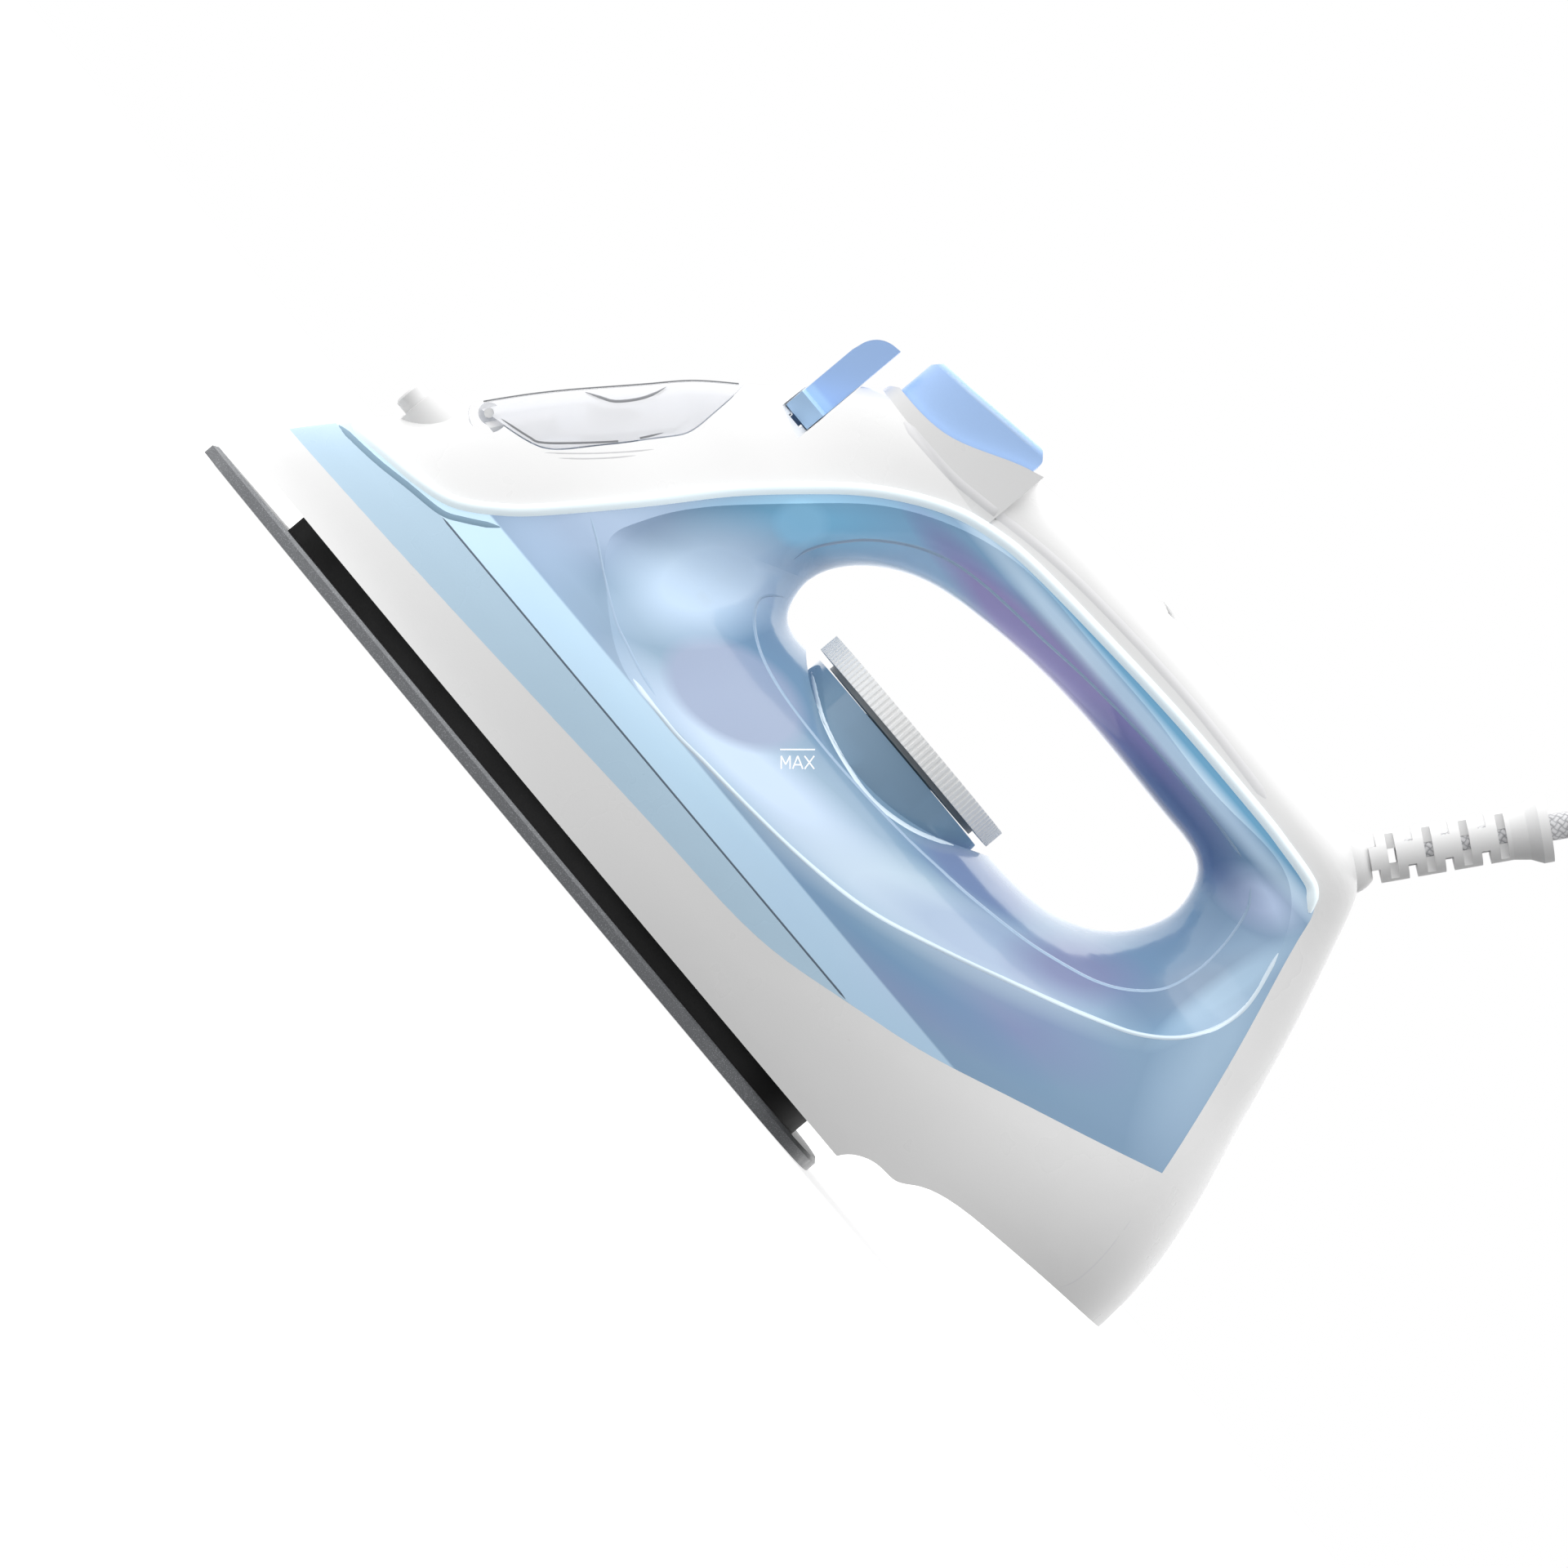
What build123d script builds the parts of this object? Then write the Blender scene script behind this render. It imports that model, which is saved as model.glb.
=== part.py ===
"""Corded steam iron, standing flat on its soleplate.

Millimetres. +Z is up, the nose points to -X, the cord leaves at +X, and the iron is symmetric about
y = 0. The origin is on the soleplate's underside, at the middle of the iron's length.
"""

import os
from math import cos, exp, hypot, radians, sin, tan

from build123d import *

os.makedirs("parts", exist_ok=True)

# ---- driving dimensions ---------------------------------------------------------------------
WALL = 2.2  # wall of every moulded shell
LINING = 3.0  # wall around the handle opening
GAP = 0.35  # free play between pieces that move past each other

SOLE_TOP = 3.5
SOLE_NOSE = -148.2
SOLE_HEEL = 76.0
SOLE_WIDTH = 55.5
SKIRT_BOTTOM = 8.5
TANK_FLOOR = 33.8  # seam between the tank and its base
TANK_ROOF = 70.0  # the water stays below this height in the front column

DIAL_X = 13.5
DIAL_RADIUS = 30.8
DIAL_BOTTOM = 82.6
DIAL_TOP = 87.6
WELL_RADIUS = 33.0
WELL_FLOOR = 66.0
HUB_RADIUS = 29.0  # raised ring of the tank under the dial
HUB_BORE = 13.0

LEVER_X = -63.4  # middle of the steam lever
LEVER_THICK = 7.8
LEVER_AXIS_Z = 78.5
CHANNEL_FLOOR = 36.0  # radius of the lever channel's floor about the lever's axis

PUMP_X = -44.5
PUMP_Y = 5.6
PUMP_BOTTOM = 98.0
PUMP_TOP = 124.0
HOSE_RADIUS = 2.0
ROD_RADIUS = 2.0
ROD_BORE = 2.06  # the steam valve's rod slides in it

HINGE = (-111.4, 58.2)  # axis of the filler door, x and z
DOOR_GAP = 0.5  # room between the closed door and the funnel under it
NOZZLE_Z = 46.6

BALL = (102.8, 146.0)  # centre of the cord's ball joint, x and z
BALL_RADIUS = 7.5
GUARD_SLOPE = 60.0  # degrees above the horizontal
GUARD_START = 5.6  # along the guard's axis, from the ball's centre
GUARD_LENGTH = 43.6
CORD_RADIUS = 3.2

# ---- outer form of the body -----------------------------------------------------------------
# One row for each level: height, nose, heel, half width.
STATIONS = [
    (6.5, -147.6, 149.6, 56.0),
    (19.0, -139.6, 149.6, 57.5),
    (31.0, -131.8, 149.4, 57.6),
    (44.0, -123.2, 148.0, 56.0),
    (57.0, -115.6, 145.0, 52.4),
    (70.0, -107.8, 140.6, 46.8),
    (82.0, -99.5, 135.9, 40.5),
    (95.0, -90.2, 131.0, 34.5),
    (108.0, -78.9, 126.0, 29.0),
    (121.0, -67.5, 120.5, 24.8),
    (132.0, -57.5, 115.6, 22.4),
    (140.5, -42.5, 111.6, 20.8),
    (146.0, -24.5, 107.6, 17.4),
    (150.2, -4.5, 100.5, 11.5),
    (152.8, 26.0, 76.0, 3.2),
]


def between(low, high, share):
    """The value a share of the way from low to high."""
    return low + (high - low) * min(max(share, 0.0), 1.0)


def between_points(low, high, share):
    """The point a share of the way from low to high."""
    return tuple(a + (b - a) * share for a, b in zip(low, high))


def station_at(z):
    """Nose, heel and half width of the body at any height."""
    for low, high in zip(STATIONS, STATIONS[1:]):
        if z <= high[0]:
            share = (z - low[0]) / (high[0] - low[0])
            return [between(a, b, share) for a, b in zip(low[1:], high[1:])]
    return STATIONS[-1][1:]


def form_at(z):
    """Where the plan outline is widest, as a share of its length, and how blunt its nose is."""
    return between(0.62, 0.60, (z - 20) / 60), between(2.2, 2.6, (z - 20) / 60), (
        between(0.80, 0.52, (z - 20) / 60) - between(0.0, 0.07, (z - 80) / 50)
    )


def side_share(share, fullness, bluntness):
    """Half width a share of the way from the nose to the widest place, as a share of the widest."""
    return (1 - (1 - share) ** fullness) ** bluntness


def heel_share(share):
    """Half width a share of the way from the widest place to the heel."""
    return (1 - share**7) ** 0.42


def half_width(x, z):
    """Half width of the body at a point of its side view."""
    nose, heel, width = station_at(z)
    at, fullness, bluntness = form_at(z)
    widest = between(nose, heel, at)
    if x < widest:
        return width * side_share((x - nose) / (widest - nose), fullness, bluntness)
    return width * heel_share((x - widest) / (heel - widest))


def plan_outline(nose, heel, width, widest_at, fullness, bluntness):
    """Closed ring of points of a plan outline, pointed at the nose and square at the heel."""
    widest = between(nose, heel, widest_at)
    side = []
    for share in (0.006, 0.03, 0.09, 0.20, 0.36, 0.58, 0.82):
        y = width * side_share(share, fullness, bluntness)
        side.append((between(nose, widest, share), y))
    for share in (0.12, 0.45, 0.72, 0.90, 0.975):
        side.append((between(widest, heel, share), width * heel_share(share)))
    return [(nose, 0)] + side + [(heel, 0)] + [(x, -y) for x, y in reversed(side)]


def pace_of(ring):
    """Where each point of a closed ring lies along it, as a share of the way round."""
    steps = [hypot(x1 - x0, z1 - z0) for (x0, z0), (x1, z1) in zip(ring, ring[1:] + ring[:1])]
    return [sum(steps[:count]) / sum(steps) for count in range(len(ring) + 1)]


def closed_curve(ring, pace):
    """Smooth closed curve. Sections of one loft share their pace, which keeps its surface light."""
    points = [Vector(*point) for point in ring]
    add(Edge.make_spline(points, periodic=True, parameters=pace))


def plan_prism(bottom, top, nose, heel, width, form=(0.72, 2.2, 0.8)):
    """Upright block with a plan outline of the iron's kind."""
    with BuildPart() as block:
        with BuildSketch(Plane.XY.offset(bottom)):
            with BuildLine():
                Spline(*plan_outline(nose, heel, width, *form), periodic=True)
            make_face()
        extrude(amount=top - bottom)
    return block.part


def envelope(inset):
    """The body's closed outer form, drawn in by inset all round."""
    pace = pace_of(plan_outline(*station_at(80), *form_at(80)))
    with BuildPart() as form:
        for z, nose, heel, width in STATIONS:
            drop = between(0, inset, (z - 100) / 45)
            ring = (nose + 1.6 * inset, heel - 1.15 * inset, max(width - inset, 1.2))
            with BuildSketch(Plane.XY.offset(z - drop)):
                with BuildLine():
                    closed_curve(plan_outline(*ring, *form_at(z)), pace)
                make_face()
        loft()
    return form.part


# The handle opening: each spoke runs from the opening's inner rim at y = 0 to the shoulder line on
# the body's side, along a curve that rises with a power of y.
SPOKES = [
    ((-31.8, 91.0), (-67.2, 71.0), 2.0),
    ((-29.5, 98.5), (-57.4, 87.4), 2.2),
    ((-24.0, 105.5), (-47.4, 101.0), 2.4),
    ((-14.0, 112.3), (-33.0, 116.4), 2.6),
    ((0.0, 116.6), (-9.6, 129.4), 2.8),
    ((20.0, 119.8), (20.0, 132.6), 2.8),
    ((45.0, 120.8), (48.0, 132.9), 2.8),
    ((68.0, 120.4), (76.0, 132.6), 2.8),
    ((81.0, 117.8), (98.5, 131.0), 2.6),
    ((84.9, 110.0), (107.3, 121.0), 2.4),
    ((84.2, 101.5), (112.9, 105.0), 2.2),
    ((79.5, 93.0), (110.8, 91.5), 2.0),
    ((69.0, 85.4), (97.0, 79.0), 2.0),
    ((53.0, 82.0), (70.0, 65.3), 2.0),
    ((33.0, 81.3), (40.0, 52.3), 2.0),
    ((10.0, 81.3), (8.0, 46.4), 2.0),
    ((-10.0, 81.2), (-28.0, 43.4), 2.0),
    ((-22.0, 79.8), (-52.0, 47.4), 2.0),
    ((-29.8, 83.4), (-70.0, 60.5), 2.0),
]
OPENING_LEVELS = (-58, -44, -32, -22, -12, 0, 12, 22, 32, 44, 58)


def opening(grown):
    """Closed form that cuts the handle opening and its rolled shoulders."""
    pace = pace_of([between_points(inner, outer, 0.3) for inner, outer, power in SPOKES])
    with BuildPart() as form:
        for y in OPENING_LEVELS:
            ring = []
            for (x0, z0), (x1, z1), power in SPOKES:
                run = hypot(x1 - x0, z1 - z0)
                reach = (abs(y) / half_width(x1, z1)) ** power
                if reach > 1:
                    reach = 1 + 0.35 * (1 - exp((1 - reach) / 0.35))
                reach += grown / run
                ring.append(between_points((x0, z0), (x1, z1), reach))
            with BuildSketch(Plane.XZ.offset(-y)):
                with BuildLine():
                    closed_curve(ring, pace)
                make_face()
        loft()
    return form.part


def round_pocket(radius, floor):
    """Slightly tapered pocket around the dial, open upward."""
    with BuildPart() as form:
        with BuildSketch(Plane.XZ):
            with BuildLine():
                Polyline(
                    (DIAL_X, floor),
                    (DIAL_X + radius - 3, floor),
                    (DIAL_X + radius, floor + 9),
                    (DIAL_X + radius, 92),
                    (DIAL_X, 92),
                    close=True,
                )
            make_face()
        revolve(axis=Axis((DIAL_X, 0, 0), (0, 0, 1)))
    return form.part


def tube(x, y, bottom, top, outer, inner=0.0):
    """Upright round tube or rod."""
    with BuildPart() as form:
        with BuildSketch(Plane.XY.offset(bottom)):
            with Locations((x, y)):
                Circle(outer)
                if inner:
                    Circle(inner, mode=Mode.SUBTRACT)
        extrude(amount=top - bottom)
    return form.part


def bar(x0, x1, y0, y1, z0, z1):
    """Square-edged block between two corners."""
    with BuildPart() as form:
        with BuildSketch(Plane.XY.offset(z0)):
            with Locations(((x0 + x1) / 2, (y0 + y1) / 2)):
                Rectangle(x1 - x0, y1 - y0)
        extrude(amount=z1 - z0)
    return form.part


def bent_tube(points, radius, bend):
    """Round wire or hose along straight runs joined by arcs."""
    with BuildPart() as form:
        with BuildLine() as route:
            FilletPolyline(*points, radius=bend)
        start = Vector(*points[1]) - Vector(*points[0])
        with BuildSketch(Plane(origin=points[0], z_dir=start)):
            Circle(radius)
        sweep(path=route.line)
    return form.part


# ---- seams of the side view (x, z) ----------------------------------------------------------
BAND_TOP = [
    (-139.5, 19.1), (-100, 20.7), (-40, 23.8), (0, 25.7), (30, 28.1), (51, 33.8),
    (70, 39.5), (90, 47.7), (110, 56.1), (129.5, 64.5),
]
RIM_BOTTOM = [(-134, 28.5), (-120, 30.3), (-110, 32.2), (-100, 33.8)]
BEAD = [
    (-134.5, 30.9), (-120, 33.3), (-110, 35), (-102, 37.3), (-97, 40.3), (-92, 44.8), (-87, 50.3),
    (-80, 59.8), (-70, 74.3), (-60, 89.8), (-50, 102.8), (-40, 114.3), (-30, 122.8), (-20, 128.8),
    (-10, 132.1), (0, 133.9), (20, 135.5), (50, 137.1), (80, 137.3), (92, 136.9), (100, 136.3),
]
TANK_REAR = [(100, 136.3), (104, 134.3), (107, 130.3), (110, 121.3), (115, 108.3), (120, 94.8),
             (125, 79.8), (129.5, 64.5)]
HEEL_UNDER = [(76.7, 8.6), (80, 12.6), (85, 14.7), (90, 15.4), (94, 18.4), (100, 21.6), (106, 23.3),
              (117, 25.3), (130, 27.3), (150.6, 29.6)]
REAR_SEAM = [(134, 28.3), (135.7, 36.3), (135, 43.3), (132.8, 53), (131, 66), (130, 80),
             (127.6, 99), (123.5, 112), (118.5, 123), (116.5, 127)]
DOOR_EDGE = [(-120, 56), (-115.5, 56.8), (-108, 58.8), (-100, 61.1), (-96.5, 62.8), (-90, 70.8),
             (-85, 78.3), (-80, 86.3), (-77.2, 91.3), (-76.8, 98), (-77.2, 106), (-78.5, 112)]
BUTTON_EDGE = [(-53, 137.2), (-45, 137.1), (-37, 138.4), (-30, 141.5), (-22.5, 145.8), (-16.6, 148.5)]
FAR = 175.0  # beyond the body on every side


def beside(points, distance):
    """The same line of points moved sideways, to its right."""
    moved = []
    last = len(points) - 1
    for index, (x, z) in enumerate(points):
        x0, z0 = points[max(index - 1, 0)]
        x1, z1 = points[min(index + 1, last)]
        run = hypot(x1 - x0, z1 - z0)
        moved.append((x + distance * (z1 - z0) / run, z - distance * (x1 - x0) / run))
    return moved


DOOR_FRAME = beside(DOOR_EDGE, GAP)


def side_prism(mode=Mode.ADD):
    """Extrude the side-view sketch in progress through the whole width."""
    extrude(amount=90, both=True, mode=mode)


with BuildPart() as housing_region:
    with BuildSketch(Plane.XZ):
        with BuildLine():
            Polyline((-FAR, 18.2), (-FAR, SKIRT_BOTTOM), (76.4, SKIRT_BOTTOM), HEEL_UNDER[0])
            Spline(*HEEL_UNDER)
            Polyline(HEEL_UNDER[-1], (FAR, 33), (FAR, 125), (125, 127), TANK_REAR[2])
            Spline(*TANK_REAR[2:])
            Spline(*BAND_TOP)
            Line(BAND_TOP[0], (-FAR, 18.2))
        make_face()
    side_prism()

with BuildPart() as rear_region:
    with BuildSketch(Plane.XZ):
        with BuildLine():
            Polyline((FAR, 20), (134, 20), REAR_SEAM[0])
            Spline(*REAR_SEAM)
            Polyline(REAR_SEAM[-1], (FAR, 127), (FAR, 20))
        make_face()
    side_prism()

with BuildPart() as base_region:
    with BuildSketch(Plane.XZ):
        with BuildLine():
            Polyline((51, 12), (-FAR, 12), (-FAR, 28), RIM_BOTTOM[0])
            Spline(*RIM_BOTTOM)
            Polyline(RIM_BOTTOM[-1], (51, TANK_FLOOR), (51, 12))
        make_face()
    side_prism()
    add(housing_region.part, mode=Mode.SUBTRACT)

with BuildPart() as cover_region:
    with BuildSketch(Plane.XZ):
        with BuildLine():
            Polyline(BEAD[0], (-FAR, 30.6), (-FAR, FAR), (FAR, FAR), (FAR, 127), (125, 127))
            Line((125, 127), TANK_REAR[2])
            Spline(*reversed(TANK_REAR[:3]))
            Spline(*BEAD)
        make_face()
    side_prism()

with BuildPart() as tank_region:
    with BuildSketch(Plane.XZ):
        with BuildLine():
            Line((-FAR, 28), RIM_BOTTOM[0])
            Spline(*RIM_BOTTOM)
            Polyline(RIM_BOTTOM[-1], (51, TANK_FLOOR), (FAR, TANK_FLOOR), (FAR, FAR), (-FAR, FAR), (-FAR, 28))
        make_face()
    side_prism()
    add(housing_region.part, mode=Mode.SUBTRACT)
    add(cover_region.part, mode=Mode.SUBTRACT)

with BuildPart() as door_region:
    with BuildSketch(Plane.XZ):
        with BuildLine():
            Spline(*DOOR_EDGE)
            Polyline(DOOR_EDGE[-1], (-130, 118), (-130, 56), DOOR_EDGE[0])
        make_face()
    side_prism()

# ---- hollow body ----------------------------------------------------------------------------
outer_form = envelope(0)
inner_form = envelope(WALL)

with BuildPart() as outer_body:
    add(outer_form)
    add(opening(0), mode=Mode.SUBTRACT)
    add(round_pocket(WELL_RADIUS, WELL_FLOOR), mode=Mode.SUBTRACT)

with BuildPart() as inner_body:
    add(inner_form)
    add(opening(LINING), mode=Mode.SUBTRACT)
    add(round_pocket(WELL_RADIUS + WALL, WELL_FLOOR - WALL), mode=Mode.SUBTRACT)

with BuildPart() as heel_floor:
    with BuildSketch(Plane.XZ):
        with BuildLine():
            Line((HEEL_UNDER[0][0], SKIRT_BOTTOM - 2), HEEL_UNDER[0])
            Spline(*HEEL_UNDER)
            Polyline(HEEL_UNDER[-1], (FAR, 33), (FAR, 33 + 1.25 * WALL))
            Line((FAR, 33 + 1.25 * WALL), (HEEL_UNDER[-1][0], HEEL_UNDER[-1][1] + WALL))
            Spline(*[(x, z + WALL) for x, z in reversed(HEEL_UNDER)])
            Polyline(
                (HEEL_UNDER[0][0], HEEL_UNDER[0][1] + WALL),
                (70, HEEL_UNDER[0][1] + WALL),
                (70, SKIRT_BOTTOM - 2),
                (HEEL_UNDER[0][0], SKIRT_BOTTOM - 2),
            )
        make_face()
    side_prism()
    add(inner_body.part, mode=Mode.INTERSECT)

SHIELD = (-121.0, 67.0, 49.0)  # nose, heel and half width of the heat shield
SHIELD_TOP = 19.0
with BuildPart() as skirt_flange:
    add(inner_body.part)
    add(bar(-160, 72, -70, 70, SKIRT_BOTTOM, SKIRT_BOTTOM + WALL), mode=Mode.INTERSECT)
    add(plan_prism(0, 30, SHIELD[0] - 0.6, SHIELD[1] + 0.4, SHIELD[2] + 0.4), mode=Mode.SUBTRACT)

with BuildPart() as skin:
    add(outer_body.part)
    add(inner_body.part, mode=Mode.SUBTRACT)
    add(heel_floor.part)
    add(skirt_flange.part)


def save(part, label):
    """Label a finished piece and write its file."""
    part.label = label
    export_step(part, f"parts/{label}.step")


# ---- soleplate, heater and steam chamber ----------------------------------------------------
SOLE_FORM = (0.72, 2.2, 0.8)
CHAMBER = (-86.0, -10.0, 20.0)
CASTING_TOP = 14.0

SOLE_BEVEL = 0.9
with BuildPart() as soleplate:
    add(plan_prism(0, SOLE_TOP - SOLE_BEVEL, SOLE_NOSE, SOLE_HEEL, SOLE_WIDTH))
    for drop in (SOLE_BEVEL, 0):
        draw = SOLE_BEVEL - drop
        ring = (SOLE_NOSE + 1.5 * draw, SOLE_HEEL - draw, SOLE_WIDTH - draw)
        with BuildSketch(Plane.XY.offset(SOLE_TOP - drop)):
            with BuildLine():
                Spline(*plan_outline(*ring, *SOLE_FORM), periodic=True)
            make_face()
    loft()
    for step in range(9):
        x = -122 + 13 * step
        spread = 0.66 * SOLE_WIDTH * side_share((x - SOLE_NOSE) / 161.4, *SOLE_FORM[1:])
        with Locations((x, spread), (x, -spread), (x + 6, 0.45 * spread), (x + 6, -0.45 * spread)):
            Hole(1.3)
save(soleplate.part, "soleplate")

SHIELD_SCREWS = [(40, 38), (40, -38), (-70, 24), (-70, -24)]
ELEMENT_PATH = [(58, 31), (30, 35), (-10, 32), (-48, 24), (-80, 13.5), (-96, 0)]
ELEMENT_Z = 8.6
ELEMENT_RADIUS = 3.2
with BuildPart() as heating_element:
    with BuildLine(Plane.XY.offset(ELEMENT_Z)) as element_route:
        Spline(*ELEMENT_PATH, *[(x, -y) for x, y in reversed(ELEMENT_PATH[:-1])])
    with BuildSketch(Plane(origin=element_route.line @ 0, z_dir=element_route.line % 0)):
        Circle(ELEMENT_RADIUS)
    sweep(path=element_route.line)
save(heating_element.part, "heating_element")

with BuildPart() as heater_casting:
    add(plan_prism(SOLE_TOP, CASTING_TOP, SHIELD[0] + 6, 54, SHIELD[2] - 4))
    add(plan_prism(7, CASTING_TOP, *CHAMBER), mode=Mode.SUBTRACT)
    add(heating_element.part, mode=Mode.SUBTRACT)
save(heater_casting.part, "heater_casting")

with BuildPart() as steam_chamber_cover:
    add(plan_prism(CASTING_TOP, CASTING_TOP + 1.5, CHAMBER[0] - 5, CHAMBER[1] + 4, CHAMBER[2] + 3))
    with Locations((LEVER_X, 0, CASTING_TOP), (PUMP_X, PUMP_Y, CASTING_TOP)):
        Cylinder(1.6, 10, mode=Mode.SUBTRACT)
save(steam_chamber_cover.part, "steam_chamber_cover")

with BuildPart() as heat_shield:
    add(plan_prism(SOLE_TOP, SHIELD_TOP, *SHIELD))
    add(
        plan_prism(SOLE_TOP, SHIELD_TOP - 2, SHIELD[0] + 4, SHIELD[1] - 2.5, SHIELD[2] - 2.5),
        mode=Mode.SUBTRACT,
    )
    with Locations((LEVER_X, 0, SHIELD_TOP), (PUMP_X, PUMP_Y, SHIELD_TOP)):
        Cylinder(6.2, 8, mode=Mode.SUBTRACT)
    with Locations((DIAL_X, 0, SHIELD_TOP)):
        Cylinder(14.5, 8, mode=Mode.SUBTRACT)
    with Locations((58, 30, SHIELD_TOP), (58, -30, SHIELD_TOP)):
        Cylinder(1.8, 8, mode=Mode.SUBTRACT)
    with Locations(*[(x, y, SHIELD_TOP) for x, y in SHIELD_SCREWS]):
        Cylinder(1.6, 8, mode=Mode.SUBTRACT)
save(heat_shield.part, "heat_shield")

with BuildPart() as drip_seal:
    add(tube(LEVER_X, 0, CASTING_TOP + 1.5, TANK_FLOOR - WALL, 6.0, 3.0))
save(drip_seal.part, "drip_seal")

with BuildPart() as thermostat:
    with BuildSketch(Plane.XY.offset(CASTING_TOP)):
        with Locations((DIAL_X, 0)):
            Circle(13)
    extrude(amount=6)
    with BuildSketch(Plane.XY.offset(CASTING_TOP + 6)):
        with Locations((DIAL_X, 0)):
            RectangleRounded(18, 15, 2)
    extrude(amount=6)
    add(tube(DIAL_X, 0, CASTING_TOP + 12, 28.5, 4.0))
save(thermostat.part, "thermostat")

with BuildPart() as thermal_fuse:
    with BuildSketch(Plane.XZ.offset(12)):
        with Locations((42, SHIELD_TOP + 3)):
            Circle(3)
    extrude(amount=-24)
save(thermal_fuse.part, "thermal_fuse")

# ---- housing and tank -----------------------------------------------------------------------
with BuildPart() as lower_housing:
    add(skin.part)
    add(housing_region.part, mode=Mode.INTERSECT)
    add(rear_region.part, mode=Mode.SUBTRACT)
save(lower_housing.part, "lower_housing")

with BuildPart() as rear_cover:
    add(skin.part)
    add(housing_region.part, mode=Mode.INTERSECT)
    add(rear_region.part, mode=Mode.INTERSECT)
save(rear_cover.part, "rear_cover")

with BuildPart() as base_band:
    add(skin.part)
    add(base_region.part, mode=Mode.INTERSECT)

SLEEVE_OUTER = 7.0
SLEEVE_BORE = 4.2
with BuildPart() as tank_base:
    with BuildSketch(Plane.XZ):
        with BuildLine():
            Line((-FAR, TANK_FLOOR), BAND_TOP[5])
            Spline(*BAND_TOP[5:])
            Line(BAND_TOP[-1], (BAND_TOP[-1][0] + 1, BAND_TOP[-1][1] - WALL))
            Spline(*[(x + 1, z - WALL) for x, z in reversed(BAND_TOP[5:])])
            Polyline((BAND_TOP[5][0] + 1, TANK_FLOOR - WALL), (-FAR, TANK_FLOOR - WALL), (-FAR, TANK_FLOOR))
        make_face()
    side_prism()
    add(inner_body.part, mode=Mode.INTERSECT)
    add(base_band.part)
    add(tube(DIAL_X, 0, TANK_FLOOR - WALL, WELL_FLOOR - WALL, SLEEVE_OUTER))
    with Locations((DIAL_X, 0, 50)):
        Cylinder(SLEEVE_BORE, 60, mode=Mode.SUBTRACT)
    with Locations((LEVER_X, 0, TANK_FLOOR)):
        Cylinder(ROD_BORE, 12, mode=Mode.SUBTRACT)
    with Locations((PUMP_X, PUMP_Y, TANK_FLOOR)):
        Cylinder(HOSE_RADIUS, 12, mode=Mode.SUBTRACT)
save(tank_base.part, "tank_base")

FRONT_WALL = BEAD[4:9]  # the part of the rim that the tank's front wall follows
FRONT_WALL_THICK = 2.6
REAR_WALL_THICK = 2.8
SPOUT_TOP = (-93.0, 82.5)
SPOUT_FOOT = (-77.0, 61.0)
SPOUT_PLANE = Plane(
    origin=(SPOUT_TOP[0], 0, SPOUT_TOP[1]),
    z_dir=(SPOUT_FOOT[0] - SPOUT_TOP[0], 0, SPOUT_FOOT[1] - SPOUT_TOP[1]),
)
with BuildPart() as tank_skin:
    add(skin.part)
    add(tank_region.part, mode=Mode.INTERSECT)

front_inside = [(x + FRONT_WALL_THICK, z) for x, z in FRONT_WALL]
rear_inside = [(x - REAR_WALL_THICK, z) for x, z in TANK_REAR[2:]]
with BuildPart() as water_tank:
    with BuildSketch(Plane.XZ):
        with BuildLine():
            Polyline(
                (-72.5, TANK_ROOF), (-20, TANK_ROOF), (-20, TANK_ROOF - WALL), (-74, TANK_ROOF - WALL),
                close=True,
            )
        make_face()
    side_prism()
    with BuildSketch(Plane.XZ):
        with BuildLine():
            Polyline((-100, 70), (-100, TANK_FLOOR), (front_inside[0][0], TANK_FLOOR), front_inside[0])
            Spline(*front_inside)
            Polyline(front_inside[-1], (-74, front_inside[-1][1]), (-100, 70))
        make_face()
    side_prism()
    add(cover_region.part, mode=Mode.SUBTRACT)
    with BuildSketch(Plane.XZ):
        with BuildLine():
            Spline(*TANK_REAR[2:])
            Line(TANK_REAR[-1], rear_inside[-1])
            Spline(*reversed(rear_inside))
            Line(rear_inside[0], TANK_REAR[2])
        make_face()
    side_prism()
    add(inner_body.part, mode=Mode.INTERSECT)
    add(tank_skin.part)
    add(tank_base.part, mode=Mode.SUBTRACT)
    add(tube(DIAL_X, 0, WELL_FLOOR, 74.5, 15.0))
    add(tube(DIAL_X, 0, WELL_FLOOR, DIAL_BOTTOM - 1.8, HUB_RADIUS, HUB_BORE))
    with Locations((DIAL_X, 0, 70)):
        Cylinder(SLEEVE_BORE, 20, mode=Mode.SUBTRACT)
    with Locations((LEVER_X, 0, TANK_ROOF)):
        Cylinder(ROD_BORE, 12, mode=Mode.SUBTRACT)
    with Locations((PUMP_X, PUMP_Y, TANK_ROOF)):
        Cylinder(HOSE_RADIUS, 12, mode=Mode.SUBTRACT)
    with BuildSketch(SPOUT_PLANE):
        Circle(7.0)
    extrude(amount=40, mode=Mode.SUBTRACT)
tank_solid = water_tank.part.solids().sort_by(SortBy.VOLUME)[-1]
save(tank_solid, "water_tank")

# ---- handle cover, with the lever channel and the button opening ----------------------------
LEVER_FRONT = LEVER_X - LEVER_THICK / 2 - 0.4
LEVER_BACK = LEVER_X + LEVER_THICK / 2 + 0.4
RIB = 2.2
PIN_RADIUS = 1.5


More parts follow.
